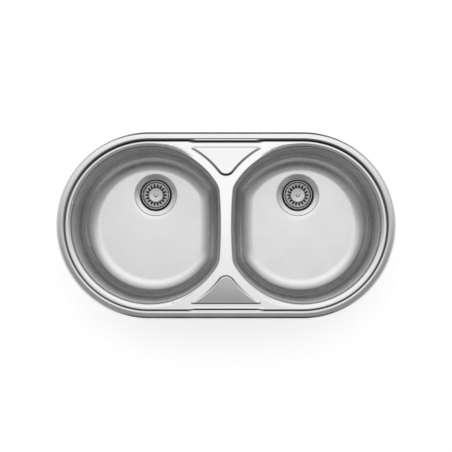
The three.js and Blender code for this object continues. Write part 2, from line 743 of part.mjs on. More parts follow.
// ---------------------------------------------------------------- rim gasket
const gasketTop = RIM_EDGE_Z - SHEET - GAP;
add('rim_gasket', sweep(sinkOutline, [
  v2(GASKET_IN, 0), v2(GASKET_IN, gasketTop - 0.6), v2(GASKET_IN + 1, gasketTop),
  v2(GASKET_IN + GASKET_WIDTH, gasketTop), v2(GASKET_IN + GASKET_WIDTH, 0),
]), blackRubber());

// ---------------------------------------------------------------- fixing clips
// Drawn with the origin on the outline, +X inwards and +Y along the edge.
const bracketTop = ledgeBottom - GAP;
const shelfTop = SHELF_Z + BRACKET_SHEET;
const clipScrewX = BRACKET_D + BRACKET_SHEET + SHELF_REACH / 2;
const clipTop = SHELF_Z - CLIP_DROP;

const clipHeadTop = clipTop - CLIP_SHEET - GAP;

function upright(radius, z0, z1) {
  const shaft = turnedSolid([v2(0, z0), v2(radius, z0), v2(radius, z1), v2(0, z1)], SCREW_STEPS);
  return shaft.translate(clipScrewX, 0, 0);
}

// Folded strip welded on edge under the ledge; the screw threads into its shelf.
function bracket() {
  const half = BRACKET_WIDTH / 2;
  const plateIn = BRACKET_D + BRACKET_SHEET;
  const section = [
    v2(BRACKET_D, bracketTop),
    v2(BRACKET_D, SHELF_Z),
    v2(plateIn + SHELF_REACH, SHELF_Z),
    v2(plateIn + SHELF_REACH, shelfTop),
    v2(plateIn + BRACKET_SHEET, shelfTop),
    v2(plateIn, shelfTop + BRACKET_SHEET),
    v2(plateIn, bracketTop),
  ];
  const strip = plate(section, -half, half).rotateX(Math.PI / 2);
  const hole = upright(CLIP_SCREW_R + RUN, SHELF_Z - 1, shelfTop + 1);
  return toGeometry(toSolid(strip).subtract(toSolid(hole)));
}

// Arm that swings out under the worktop, with its end turned up to bite.
function clip() {
  const half = CLIP_WIDTH / 2;
  const plan = [
    ...arcPoints(clipScrewX, 0, half, 180, 360, 6),
    v2(clipScrewX + half * 0.7, CLIP_LENGTH),
    v2(clipScrewX - half * 0.7, CLIP_LENGTH),
  ];
  const arm = plate(plan, clipTop - CLIP_SHEET, clipTop);
  const hook = box(clipScrewX - half * 0.7, clipScrewX + half * 0.7,
    CLIP_LENGTH - CLIP_SHEET, CLIP_LENGTH, clipTop - CLIP_SHEET, clipTop + CLIP_HOOK);
  const hole = upright(CLIP_SCREW_R + RUN, clipTop - CLIP_SHEET - 1, clipTop + 1);
  return toGeometry(toSolid(arm).add(toSolid(hook)).subtract(toSolid(hole)));
}

function clipScrew() {
  const screw = turnedSolid([
    v2(0, clipHeadTop - CLIP_HEAD),
    v2(CLIP_HEAD_R, clipHeadTop - CLIP_HEAD),
    v2(CLIP_HEAD_R, clipHeadTop),
    v2(CLIP_SCREW_R, clipHeadTop),
    v2(CLIP_SCREW_R, CLIP_SCREW_TOP - 1),
    v2(CLIP_SCREW_R - 1, CLIP_SCREW_TOP),
    v2(0, CLIP_SCREW_TOP),
  ], SCREW_STEPS);
  return screw.translate(clipScrewX, 0, 0);
}

// Each place is a point of the outline and the direction inwards, in degrees.
const endPlace = (side, angle) => ({
  x: side * centreX + OUTLINE_R * Math.cos(rad(angle)),
  y: OUTLINE_R * Math.sin(rad(angle)),
  inward: angle + 180,
});
const sidePlace = (side, end) => ({ x: side * CLIP_SIDE_X, y: end * OUTLINE_R, inward: -90 * end });
const clipPlaces = {
  rear_left: sidePlace(-1, 1),
  rear_right: sidePlace(1, 1),
  front_left: sidePlace(-1, -1),
  front_right: sidePlace(1, -1),
  end_left_rear: endPlace(-1, 180 - CLIP_END_ANGLE),
  end_left_front: endPlace(-1, 180 + CLIP_END_ANGLE),
  end_right_rear: endPlace(1, CLIP_END_ANGLE),
  end_right_front: endPlace(1, -CLIP_END_ANGLE),
};

for (const [place, { x, y, inward }] of Object.entries(clipPlaces)) {
  const pieces = [
    add(`${place}_bracket`, bracket(), satinSteel()),
    add(`${place}_clip`, clip(), zincSteel()),
    add(`${place}_clip_screw`, clipScrew(), zincSteel()),
  ];
  for (const piece of pieces) {
    piece.position.set(x, y, 0);
    piece.rotation.z = rad(inward);
  }
}

export default group;
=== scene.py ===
import json
import math
from contextlib import contextmanager
from itertools import pairwise

import bmesh
import bpy
import numpy as np
from mathutils import Matrix, Vector
from mathutils.geometry import delaunay_2d_cdt


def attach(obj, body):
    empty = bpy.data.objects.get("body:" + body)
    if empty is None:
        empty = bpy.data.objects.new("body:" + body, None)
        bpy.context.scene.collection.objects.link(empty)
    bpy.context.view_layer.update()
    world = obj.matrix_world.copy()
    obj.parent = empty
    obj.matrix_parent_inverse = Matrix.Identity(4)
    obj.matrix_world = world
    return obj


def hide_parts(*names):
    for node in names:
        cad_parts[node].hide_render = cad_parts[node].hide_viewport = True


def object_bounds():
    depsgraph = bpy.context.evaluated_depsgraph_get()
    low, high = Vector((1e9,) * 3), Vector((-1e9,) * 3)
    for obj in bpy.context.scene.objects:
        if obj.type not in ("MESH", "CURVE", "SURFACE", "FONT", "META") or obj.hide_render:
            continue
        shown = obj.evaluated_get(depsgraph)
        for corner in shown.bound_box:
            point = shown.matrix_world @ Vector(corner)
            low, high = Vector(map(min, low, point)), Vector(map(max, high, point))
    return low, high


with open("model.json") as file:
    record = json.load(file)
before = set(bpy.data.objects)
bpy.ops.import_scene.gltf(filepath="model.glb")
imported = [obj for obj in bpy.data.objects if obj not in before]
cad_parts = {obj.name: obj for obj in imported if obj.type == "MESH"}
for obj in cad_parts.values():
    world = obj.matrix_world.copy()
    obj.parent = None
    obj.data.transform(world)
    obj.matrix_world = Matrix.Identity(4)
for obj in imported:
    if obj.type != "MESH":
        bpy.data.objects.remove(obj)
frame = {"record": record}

cad_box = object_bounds()

MM = 0.001                        # sizes are in millimetres, the stage and the scene in metres
FULL_TURN = 2 * math.pi
QUARTER_TURN = FULL_TURN / 4
SIDES = (("left", -1), ("right", 1))

# ---- sizes of the sheet, the rim, the bowls and the platforms
SHEET = 0.8                       # pressed steel sheet
OUTLINE_R = 236.0                 # round ends of the sink
CENTRE_X = 194.0                  # end arcs and bowls are struck from here
LIP_BOTTOM = 0.3
LIP_KNEE = 1.9                    # the lip stands upright to here and then leans in
LIP_RUN = 4.8                     # width of the leaning face
RIM_EDGE_Z = 6.0
RIM_CREST_Z = 6.8
BAND_END = 15.5
STEP_RUN = 3.0                    # outer step, from the band to the ledge
LEDGE_Z = 5.8
BAR_WIDTH = 2.2                   # flat bar on the slope, in front of and behind the bridge
COVE_SLOPE = 0.93                 # the cove from the ledge to the deck starts as steep as this
COVE_STEEP = 4.4                  # and keeps that slope so far, before it sweeps into the deck
BAR_SHARE = 0.4                   # part of the bar's width that shortens the steep stretch
DECK_Z = 1.0
LEDGE_START = BAND_END + STEP_RUN
DECK_START = LEDGE_START + 12.0

BOWL_R = 197.5
BRIDGE_HALF = 16.5
BRIDGE_ARC_R = 1100.0
CORNER_R = 50.0
BEAD_R = 4.5                      # tight rounding into the bowl
RING_FALL = 2.7                   # fall of the deck ring towards the bowls at the round ends
RING_WIDTH = 10.5
FALL_START = 70.0                 # across the sink, where that fall begins
FALL_END = 150.0                  # and where it is whole
COLLAR_DEPTH = 12.0
SEAM_GAP = 0.3
BOWL_DEPTH = 165.0
DRAFT = math.radians(4)
FLOOR_R = 46.0
FLOOR_FALL = 0.018
FLOOR_Z = DECK_Z - BOWL_DEPTH
WASTE_X = 190.0
WASTE_Y = 81.0
WASTE_HOLE_R = 45.3
FLANGE_R = 55.5
FLANGE_RECESS_R = FLANGE_R + 0.45
RECESS_ROUND = 0.4                # rounding of the recess's edge
FLANGE_DISH = 3.0
FLANGE_TOP = 2.5                  # above the seat at the flange's edge
SEAT_Z = FLOOR_Z - FLANGE_TOP

PLATFORM_MARGIN = 22.5
PLATFORM_BASE_Y = 200.0
PLATFORM_APEX_R = 25.0
PLATFORM_TIP_R = 4.0
PLATFORM_SLOPE = 7.0
BAR_HALF = 85.0


# ---- outlines in plan
def arc(cx, cy, radius, start, end, steps):
    """Points of an arc, both ends included; angles in radians."""
    angle = np.linspace(start, end, steps + 1)
    return np.column_stack((cx + radius * np.cos(angle), cy + radius * np.sin(angle)))


def unit_circle(count):
    return arc(0, 0, 1, 0, FULL_TURN, count)[:-1]


def sink_outline(inset):
    """The sink's outline moved inwards, with its straight sides divided as well."""
    end_steps, side_steps = 88, 56
    radius = OUTLINE_R - inset
    share = np.linspace(1, -1, side_steps + 1)[1:-1]
    rear = np.column_stack((share * CENTRE_X, np.full(side_steps - 1, radius)))
    front = -rear
    right = arc(CENTRE_X, 0, radius, -QUARTER_TURN, QUARTER_TURN, end_steps)
    left = arc(-CENTRE_X, 0, radius, QUARTER_TURN, 3 * QUARTER_TURN, end_steps)
    return np.vstack((right, rear, left, front))


def bowl_outline(side, inset):
    """The opening of one bowl moved inwards: large arc, corner, bridge arc, corner."""
    large_steps, corner_steps, shallow_steps = 112, 18, 30
    large, shallow = BOWL_R - inset, BRIDGE_ARC_R - inset
    corner = CORNER_R + max(0.0, -inset)
    shallow_x = BRIDGE_HALF + BRIDGE_ARC_R
    apart = shallow_x - CENTRE_X
    along = ((large - corner) ** 2 - (shallow - corner) ** 2 + apart ** 2) / (2 * apart)
    corner_x = CENTRE_X + along
    corner_y = math.sqrt((large - corner) ** 2 - along ** 2)
    a = math.atan2(corner_y, along)
    b = math.atan2(corner_y, corner_x - shallow_x)
    ring = np.vstack((
        arc(CENTRE_X, 0, large, -a, a, large_steps)[:-1],
        arc(corner_x, corner_y, corner, a, b, corner_steps)[:-1],
        arc(shallow_x, 0, shallow, b, FULL_TURN - b, shallow_steps)[:-1],
        arc(corner_x, -corner_y, corner, FULL_TURN - b, FULL_TURN - a, corner_steps)[:-1],
    ))
    return ring if side > 0 else (ring * (-1, 1))[::-1]


def platform_outline(end, inset):
    """A tap platform between the bowls, rear (+1) or front (-1)."""
    apex_steps, side_steps, tip_steps, base_steps = 12, 30, 8, 40
    side = BOWL_R + PLATFORM_MARGIN + inset
    apex = PLATFORM_APEX_R - inset
    tip = PLATFORM_TIP_R - inset / 2
    base = PLATFORM_BASE_Y - inset / 2
    apex_y = math.sqrt((side + apex) ** 2 - CENTRE_X ** 2)
    tip_x = CENTRE_X - math.sqrt((side + tip) ** 2 - (base - tip) ** 2)
    to_apex = math.atan2(apex_y, CENTRE_X)
    to_tip = math.atan2(base - tip, CENTRE_X - tip_x)
    right = np.vstack((
        arc(0, apex_y, apex, -QUARTER_TURN, -to_apex, apex_steps),
        arc(CENTRE_X, 0, side, math.pi - to_apex, math.pi - to_tip, side_steps)[1:],
        arc(tip_x, base - tip, tip, -to_tip, QUARTER_TURN, tip_steps)[1:],
    ))
    across = np.linspace(1, -1, base_steps + 1)[1:-1]
    line = np.column_stack((across * tip_x, np.full(len(across), base)))
    ring = np.vstack((right, line, (right[1:] * (-1, 1))[::-1]))
    return ring if end > 0 else (ring * (1, -1))[::-1]


def smooth(low, high, value):
    t = np.clip((value - low) / (high - low), 0, 1)
    return t * t * (3 - 2 * t)


def inside(points, ring):
    """Which points lie inside a closed ring, by counting crossings."""
    x, y = points[:, 0], points[:, 1]
    result = np.zeros(len(points), bool)
    for (x0, y0), (x1, y1) in zip(ring, np.roll(ring, -1, axis=0)):
        if y0 == y1:
            continue
        crosses = (y0 > y) != (y1 > y)
        result ^= crosses & (x < (x1 - x0) * (y - y0) / (y1 - y0) + x0)
    return result


def distances(points):
    """How far along a line each of its points lies."""
    return np.concatenate(([0], np.cumsum(np.linalg.norm(np.diff(points, axis=0), axis=1))))


def distance_to(points, ring):
    """Least distance from each point to the corners of a ring."""
    best = np.full(len(points), 1e9)
    for corner in ring:
        best = np.minimum(best, np.hypot(points[:, 0] - corner[0], points[:, 1] - corner[1]))
    return best


FLAT_CORNER = math.radians(88)    # half of a corner's angle from which it is left as it is
SIDE_SHARE = 0.36                 # most of a side that one rounding takes
SUPPORT = 1.25                    # place of the support point, in reaches of the rounding


def rounded(profile, radius, closed=True, steps=4):
    """Rounds the corners of a profile and sets a support point beside each rounding."""
    points = np.asarray(profile, float)
    count = len(points)
    result = []
    for i, corner in enumerate(points):
        if not closed and i in (0, count - 1):
            result.append(corner)
            continue
        back, ahead = points[i - 1] - corner, points[(i + 1) % count] - corner
        long_back, long_ahead = np.linalg.norm(back), np.linalg.norm(ahead)
        back, ahead = back / long_back, ahead / long_ahead
        half = math.acos(max(-1.0, min(1.0, float(back @ ahead)))) / 2
        if half > FLAT_CORNER:
            result.append(corner)
            continue
        reach = min(radius / math.tan(half), SIDE_SHARE * long_back, SIDE_SHARE * long_ahead)
        result.append(corner + back * reach * SUPPORT)
        for t in np.linspace(0, 1, steps + 1):
            result.append(corner + back * reach * (1 - t) ** 2 + ahead * reach * t ** 2)
        result.append(corner + ahead * reach * SUPPORT)
    return np.array(result)


# ---- mesh helpers
@contextmanager
def edited(data):
    """Opens a mesh for editing, and leaves it smooth."""
    bm = bmesh.new()
    bm.from_mesh(data)
    yield bm
    bm.to_mesh(data)
    bm.free()
    data.shade_smooth()


class Skin:
    """Collects rings, strips and flat fills in millimetres and makes one mesh of them."""

    def __init__(self):
        self.points = []
        self.faces = []
        self.grain = []
        self.count = 0

    def add_points(self, points):
        start = self.count
        self.points.append(np.asarray(points, float))
        self.count += len(points)
        return start

    def loft(self, rings):
        """Joins closed rings of equal count. Each face carries its place along and across."""
        size = len(rings[0])
        starts = [self.add_points(ring) for ring in rings]
        along = distances([*rings[0], rings[0][0]])
        across = distances([ring[0] for ring in rings])
        for (low, high), (near, far) in zip(pairwise(starts), pairwise(across)):
            for i in range(size):
                j = (i + 1) % size
                self.faces.append((low + i, low + j, high + j, high + i))
                self.grain.append(((along[i], near), (along[i + 1], near),
                                   (along[i + 1], far), (along[i], far)))

    def lathe(self, profile, steps):
        """Turns a profile of (radius, height) about the vertical axis."""
        circle = unit_circle(steps)
        self.loft([with_height(circle * radius, height) for radius, height in profile])

    def fill(self, points, triangles):
        start = self.add_points(points)
        for tri in triangles:
            self.faces.append(tuple(start + i for i in tri))
            self.grain.append(tuple((points[i][0], points[i][1]) for i in tri))

    def mesh(self, name, weld=0.002):
        points = np.vstack(self.points) * MM
        data = bpy.data.meshes.new(name)
        data.from_pydata(points.tolist(), [], self.faces)
        layer = data.uv_layers.new(name="grain")
        flat = np.array([uv for spots in self.grain for uv in spots], float) * MM
        layer.data.foreach_set("uv", flat.ravel())
        with edited(data) as bm:
            bmesh.ops.remove_doubles(bm, verts=bm.verts, dist=weld * MM)
            bmesh.ops.dissolve_degenerate(bm, edges=bm.edges, dist=1e-7)
        return data


def new_object(name, data):
    obj = bpy.data.objects.new(name, data)
    bpy.context.scene.collection.objects.link(obj)
    return obj


def bake_modifiers(obj):
    """Turns the evaluated object into plain mesh data."""
    graph = bpy.context.evaluated_depsgraph_get()
    data = bpy.data.meshes.new_from_object(obj.evaluated_get(graph))
    obj.modifiers.clear()
    obj.data = data
    return obj


def thicken(obj, thickness):
    """Gives an open skin its sheet thickness, behind its faces."""
    solid = obj.modifiers.new("sheet", "SOLIDIFY")
    solid.thickness = thickness * MM
    solid.offset = -1
    solid.use_even_offset = False
    return bake_modifiers(obj)


def with_height(ring, height):
    ring = np.asarray(ring)
    column = np.broadcast_to(np.asarray(height, float), (len(ring),))
    return np.column_stack((ring, column))


def between(points, outer, holes):
    """Which points lie inside the outer ring and in none of the holes."""
    result = inside(points, outer)
    for hole in holes:
        result &= ~inside(points, hole)
    return result


def triangulate(outer, holes=(), loose=()):
    """Triangles of a flat region with holes, and with loose points inside it."""
    loops = [outer, *holes]
    points = np.vstack([*loops, loose]) if len(loose) else np.vstack(loops)
    edges, start = [], 0
    for loop in loops:
        size = len(loop)
        edges += [(start + i, start + (i + 1) % size) for i in range(size)]
        start += size
    out, _, faces, _, _, _ = delaunay_2d_cdt([Vector(p) for p in points], edges, [], 0, 1e-5)
    out = np.array([(p.x, p.y) for p in out])
    middles = np.array([out[list(face)].mean(axis=0) for face in faces])
    chosen = between(middles, outer, holes)
    return out, [face for face, good in zip(faces, chosen) if good]


def from_skin(name, skin, weld=0.002):
    obj = new_object(name, skin.mesh(name, weld))
    face_outwards(obj)
    return obj


def face_outwards(obj):
    with edited(obj.data) as bm:
        bmesh.ops.recalc_face_normals(bm, faces=bm.faces)


def join(name, *objs):
    """One mesh of several; the pieces of it keep their own closed shells."""
    bm = bmesh.new()
    for obj in objs:
        bm.from_mesh(obj.data)
        bpy.data.objects.remove(obj)
    data = bpy.data.meshes.new(name)
    bm.to_mesh(data)
    bm.free()
    return new_object(name, data)


def move(obj, x, y, z, turn=0.0):
    """Shifts the piece's own points, in millimetres, so that its origin stays at the frame's."""
    from_origin = Matrix.Translation((x * MM, y * MM, z * MM)) @ Matrix.Rotation(turn, 4, "Z")
    obj.data.transform(from_origin)
    return obj


def turned(name, profile, steps, closed=True):
    """Turns a profile of (radius, height) about the vertical axis through the origin."""
    skin = Skin()
    skin.lathe([*profile, profile[0]] if closed else profile, steps)
    return from_skin(name, skin)


def turned_solid(name, profile, corner, steps, corner_steps=4):
    """Turns a profile that runs from the axis to the axis, with its corners rounded."""
    return turned(name, rounded(profile, corner, False, corner_steps), steps, closed=False)


def block(plan, z0, z1, edge):
    """A plate of any convex or simple plan between two heights with eased edges."""
    skin = Skin()
    ahead = np.roll(plan, -1, axis=0) - np.roll(plan, 1, axis=0)
    inward = np.column_stack((-ahead[:, 1], ahead[:, 0]))
    inward /= np.maximum(np.linalg.norm(inward, axis=1), 1e-9)[:, None]
    rings = []
    turn = np.linspace(0, QUARTER_TURN, 4)
    for angles, level, up in ((turn, z0, 1), (turn[::-1], z1, -1)):
        for t in angles:
            eased = plan + inward * edge * (1 - math.sin(t))
            rings.append(with_height(eased, level + up * edge * (1 - math.cos(t))))
    skin.loft(rings)
    for ring, height in ((rings[0], z0), (rings[-1], z1)):
        out, faces = triangulate(ring[:, :2])
        skin.fill(with_height(out, height), faces)
    return skin


def oblong(x0, x1, y0, y1, z0, z1):
    """A block with its upright edges rounded, as a skin of its own."""
    corner = 0.6
    plan = rounded([(x0, y0), (x1, y0), (x1, y1), (x0, y1)], corner)
    return block(plan, z0, z1, corner * 0.5)


def extruded(name, section, start, end):
    """A strip with a section in (x, height), between two places along Y."""
    skin = block(section, start, end, 0.25)
    skin.points = [points[:, [0, 2, 1]] for points in skin.points]
    return from_skin(name, skin)


def cut_hole(obj, x, radius, z0, z1):
    """Drills an upright hole through the piece."""
    drill = turned("drill", [(0, z0), (radius, z0), (radius, z1), (0, z1)], 32, closed=False)
    move(drill, x, 0, 0)
    cut = obj.modifiers.new("hole", "BOOLEAN")
    cut.object = drill
    cut.operation = "DIFFERENCE"
    cut.solver = "EXACT"
    bake_modifiers(obj)
    bpy.data.objects.remove(drill)


def two_tone(obj, finish, other, chosen):
    """One finish, and another on the chosen faces."""
    obj.data.materials.append(finish)
    obj.data.materials.append(other)
    for face in obj.data.polygons:
        face.material_index = 1 if chosen(face) else 0
    return obj


# ---- node helpers
def feed(tree, value, socket):
    """Links a value to a socket, or sets it there where it is a constant."""
    if isinstance(value, bpy.types.NodeSocket):
        tree.links.new(value, socket)
    else:
        socket.default_value = value


def add_node(tree, kind, inputs=None, **settings):
    """Adds a node with its settings and inputs, and gives its outputs."""
    node = tree.nodes.new(kind)
    for name, value in settings.items():
        setattr(node, name, value)
    for key, value in (inputs or {}).items():
        feed(tree, value, node.inputs[key])
    return node.outputs


def reckon(tree, operation, *values):
    """A sum in nodes, such as ADD or MULTIPLY."""
    return add_node(tree, "ShaderNodeMath", dict(enumerate(values)), operation=operation)[0]


# ---- geometry node trees
def new_tree(name, **inputs):
    """A geometry node tree with its named inputs; gives the tree and what they bring in."""
    tree = bpy.data.node_groups.new(name, "GeometryNodeTree")
    for label, kind in {"Geometry": "Geometry", **inputs, "Finish": "Material"}.items():
        tree.interface.new_socket(label, in_out="INPUT", socket_type="NodeSocket" + kind)
    tree.interface.new_socket("Geometry", in_out="OUTPUT", socket_type="NodeSocketGeometry")
    return tree, add_node(tree, "NodeGroupInput")


def end_tree(tree, given, geometry):
    """Every tree ends by making instances real and setting the finish."""
    real = add_node(tree, "GeometryNodeRealizeInstances", {"Geometry": geometry})[0]
    add_node(tree, "NodeGroupOutput", {"Geometry": add_node(tree, "GeometryNodeSetMaterial", {
        "Geometry": real, "Material": given["Finish"]})[0]})
    return tree


def round_array_tree():
    """Repeats a sector evenly about the vertical axis and welds the copies."""
    tree, given = new_tree("round_array", Count="Int", Weld="Float")
    points = add_node(tree, "GeometryNodePoints", {"Count": given["Count"]})[0]
    step = reckon(tree, "DIVIDE", FULL_TURN, given["Count"])
    angle = reckon(tree, "MULTIPLY", add_node(tree, "GeometryNodeInputIndex")[0], step)
    copies = add_node(tree, "GeometryNodeInstanceOnPoints", {
        "Points": points, "Instance": given["Geometry"],
        "Rotation": add_node(tree, "ShaderNodeCombineXYZ", {"Z": angle})[0]})[0]
    real = add_node(tree, "GeometryNodeRealizeInstances", {"Geometry": copies})[0]
    return end_tree(tree, given, add_node(tree, "GeometryNodeMergeByDistance", {
        "Geometry": real, "Distance": given["Weld"]})[0])


def edge_sweep_tree():
    """Sweeps a rounded oblong section along the edges of the input."""
    tree, given = new_tree("edge_sweep", Width="Float", Height="Float", Rounding="Float")
    path = add_node(tree, "GeometryNodeMeshToCurve", {"Mesh": given["Geometry"]})[0]
    section = add_node(tree, "GeometryNodeCurvePrimitiveQuadrilateral", {
        "Width": given["Width"], "Height": given["Height"]})[0]
    soft = add_node(tree, "GeometryNodeFilletCurve", {
        "Count": 4, "Curve": section, "Radius": given["Rounding"]}, mode="POLY")[0]
    return end_tree(tree, given, add_node(tree, "GeometryNodeCurveToMesh", {
        "Curve": path, "Profile Curve": soft})[0])


def thread_tree():
    """Adds a helical ridge round the vertical axis to the input."""
    tree, given = new_tree("thread", Radius="Float", Ridge="Float", Length="Float", Turns="Float",
                           Bottom="Float")
    helix = add_node(tree, "GeometryNodeCurveSpiral", {
        "Resolution": 32, "Rotations": given["Turns"], "Start Radius": given["Radius"],
        "End Radius": given["Radius"], "Height": given["Length"]})[0]
    ridge = add_node(tree, "GeometryNodeCurvePrimitiveCircle", {
        "Resolution": 6, "Radius": given["Ridge"]})[0]
    sweep = add_node(tree, "GeometryNodeCurveToMesh", {
        "Fill Caps": True, "Curve": helix, "Profile Curve": ridge})[0]
    lift = add_node(tree, "ShaderNodeCombineXYZ", {"Z": given["Bottom"]})[0]
    raised = add_node(tree, "GeometryNodeTransform", {"Geometry": sweep, "Translation": lift})[0]
    both = tree.nodes.new("GeometryNodeJoinGeometry")
    for part in (raised, given["Geometry"]):
        tree.links.new(part, both.inputs[0])
    return end_tree(tree, given, both.outputs[0])


def apply_tree(obj, tree, **values):
    """Runs a tree on an object with its named inputs and keeps the plain mesh."""
    modifier = obj.modifiers.new(tree.name, "NODES")
    modifier.node_group = tree
    sockets = {item.name: item.identifier for item in tree.interface.items_tree
               if item.item_type == "SOCKET" and item.in_out == "INPUT"}
    for label, value in values.items():
        modifier[sockets[label]] = value
    return bake_modifiers(obj)


# ---- deck
SHOULDER = 1.3                    # small ledge of the bowl inside the deck's collar
PLATFORM_RISE = 1.2               # height of a platform's straight side above the deck
PLATFORM_FALL = 0.0425            # fall of its top towards that side


def deck_height(ring):
    """Height of the deck: level along the bridge, falling to the bowls at the round ends."""
    along = np.abs(ring[:, 0])
    from_bowl = np.hypot(along - CENTRE_X, ring[:, 1]) - BOWL_R
    near = np.clip(1 - from_bowl / RING_WIDTH, 0, 1) ** 1.1
    return DECK_Z - RING_FALL * near * smooth(FALL_START, FALL_END, along)


def rim_profile():
    """Section of the rim as (inward distance, height), from the lip to the deck."""
    crown = lambda t: RIM_EDGE_Z + (RIM_CREST_Z - RIM_EDGE_Z) * (1 - (1 - t) ** 2)
    lip = rounded([(0, LIP_BOTTOM), (0, LIP_KNEE), (LIP_RUN, RIM_EDGE_Z),
                   (LIP_RUN + 4, crown(0.3))], 1.0, closed=False, steps=5)
    band = [(LIP_RUN + (BAND_END - LIP_RUN) * t, crown(t)) for t in (0.3, 0.45, 0.6, 0.8, 0.94, 1)]
    return [*map(tuple, lip[:-1]), *band]


def step_profile():
    """The outer step, straight between its rounded ends."""
    share = np.linspace(0, 1, 11)[1:]
    fall = 0.45 * share + 0.55 * share ** 2 * (3 - 2 * share)
    return np.column_stack((BAND_END + STEP_RUN * share, RIM_CREST_Z + (LEDGE_Z - RIM_CREST_Z) * fall))


def cove_height(inset, ring):
    """The cove from the rim to the deck: a flat bar near the bridge, a slope, and a sweep."""
    base = deck_height(ring)
    bar = BAR_WIDTH * smooth(BAR_HALF + 1.5, BAR_HALF - 1.5, np.abs(ring[:, 0]))
    steep = COVE_STEEP - BAR_SHARE * bar
    sweep = 2 * ((LEDGE_Z - base) / COVE_SLOPE - steep)
    straight = np.clip(inset - LEDGE_START - bar, 0, steep)
    beyond = np.clip(inset - LEDGE_START - bar - steep, 0, sweep)
    return LEDGE_Z - COVE_SLOPE * (straight + beyond - beyond ** 2 / (2 * sweep))


def deck_rim(skin):
    """Rim, step and cove; returns the ring where the flat of the deck starts."""
    section = (*rim_profile(), *step_profile())
    rings = [with_height(sink_outline(inset), height) for inset, height in section]
    steps = [0.15, 0.7, 1.2, 1.7, 2.1, 2.35, 2.8, 3.3, 3.7, 4.2, 4.7, 5.2, 5.7, 6.3, 7, 8, 9.2, 10.6]
    for step in [*steps, DECK_START - LEDGE_START]:
        ring = sink_outline(LEDGE_START + step)
        rings.append(with_height(ring, cove_height(LEDGE_START + step, ring)))
    skin.loft(rings)
    return rings[-1][:, :2]


def deck_bead(skin, side):
    """Rounding from the deck into one bowl, and the collar below it."""
    turn = np.linspace(0, QUARTER_TURN, 13)
    outward = [BEAD_R + 0.5, *(BEAD_R * (1 - np.sin(turn)))]
    drops = [0, *(BEAD_R * (1 - np.cos(turn)))]
    rings = []
    for distance, drop in zip(outward, drops):
        ring = bowl_outline(side, -distance)
        rings.append(with_height(ring, deck_height(ring) - drop))
    last = rings[-1]
    for share in (0.2, 0.6, 1):
        height = last[:, 2] + (-COLLAR_DEPTH - last[:, 2]) * share
        rings.append(with_height(last[:, :2], height))
    skin.loft(rings)
    return rings[0][:, :2]


def platform_rise(ring):
    """Height of a platform's top above the deck, lower towards the rim."""
    return PLATFORM_RISE + PLATFORM_FALL * (PLATFORM_BASE_Y - np.abs(ring[:, 1]))


def deck_platform(skin, end):
    """Raised panel with a rounded foot and edge; returns the ring where it leaves the deck."""
    foot = platform_outline(end, -0.4)
    rings = [with_height(foot, deck_height(foot))]
    for t in np.linspace(0, 1, 13):
        ring = platform_outline(end, PLATFORM_SLOPE * t)
        rise = platform_rise(ring) * (0.5 - 0.5 * math.cos(math.pi * t))
        rings.append(with_height(ring, DECK_Z + rise))
    top = platform_outline(end, PLATFORM_SLOPE + 0.4)
    rings.append(with_height(top, DECK_Z + platform_rise(top)))
    skin.loft(rings)
    out, faces = triangulate(top)
    skin.fill(with_height(out, DECK_Z + platform_rise(out)), faces)
    return foot


LATTICE_SPACING = 7.0
RING_CLEARANCE = 1.2              # least distance of a loose point from a ring


def lattice(spacing):
    """Points in staggered rows over the whole sink."""
    xs = np.arange(-OUTLINE_R - CENTRE_X, OUTLINE_R + CENTRE_X, spacing)
    ys = np.arange(-OUTLINE_R, OUTLINE_R, spacing)
    return np.array([(x + (row % 2) * spacing / 2, y) for row, y in enumerate(ys) for x in xs])


def make_deck():
    skin = Skin()
    outer = deck_rim(skin)
    holes = [deck_bead(skin, side) for side in (1, -1)]
    holes += [deck_platform(skin, end) for end in (1, -1)]
    loose = [lattice(LATTICE_SPACING)]
    for side in (1, -1):
        loose += [bowl_outline(side, -BEAD_R - reach) for reach in (1.6, 3.0, 5.5, 8.5, 13)]
    loose = np.vstack(loose)
    keep = between(loose, outer, holes)
    for ring in (outer, *holes):
        keep &= distance_to(loose, ring) > RING_CLEARANCE
    out, faces = triangulate(outer, holes, loose[keep])
    skin.fill(with_height(out, deck_height(out)), faces)
    return thicken(new_object("pressed_deck", skin.mesh("pressed_deck")), SHEET)


# ---- bowls
def floor_rise(side, ring):
    """Rise of the floor away from the waste."""
    away = np.hypot(ring[:, 0] - side * WASTE_X, ring[:, 1] - WASTE_Y) - FLANGE_RECESS_R
    return np.maximum(away, 0) * FLOOR_FALL


def dish(radius):
    """Height of the dished seat and flange, from nothing at the flange's edge."""
    return FLANGE_DISH * (radius - FLANGE_R) / (FLANGE_R - WASTE_HOLE_R)


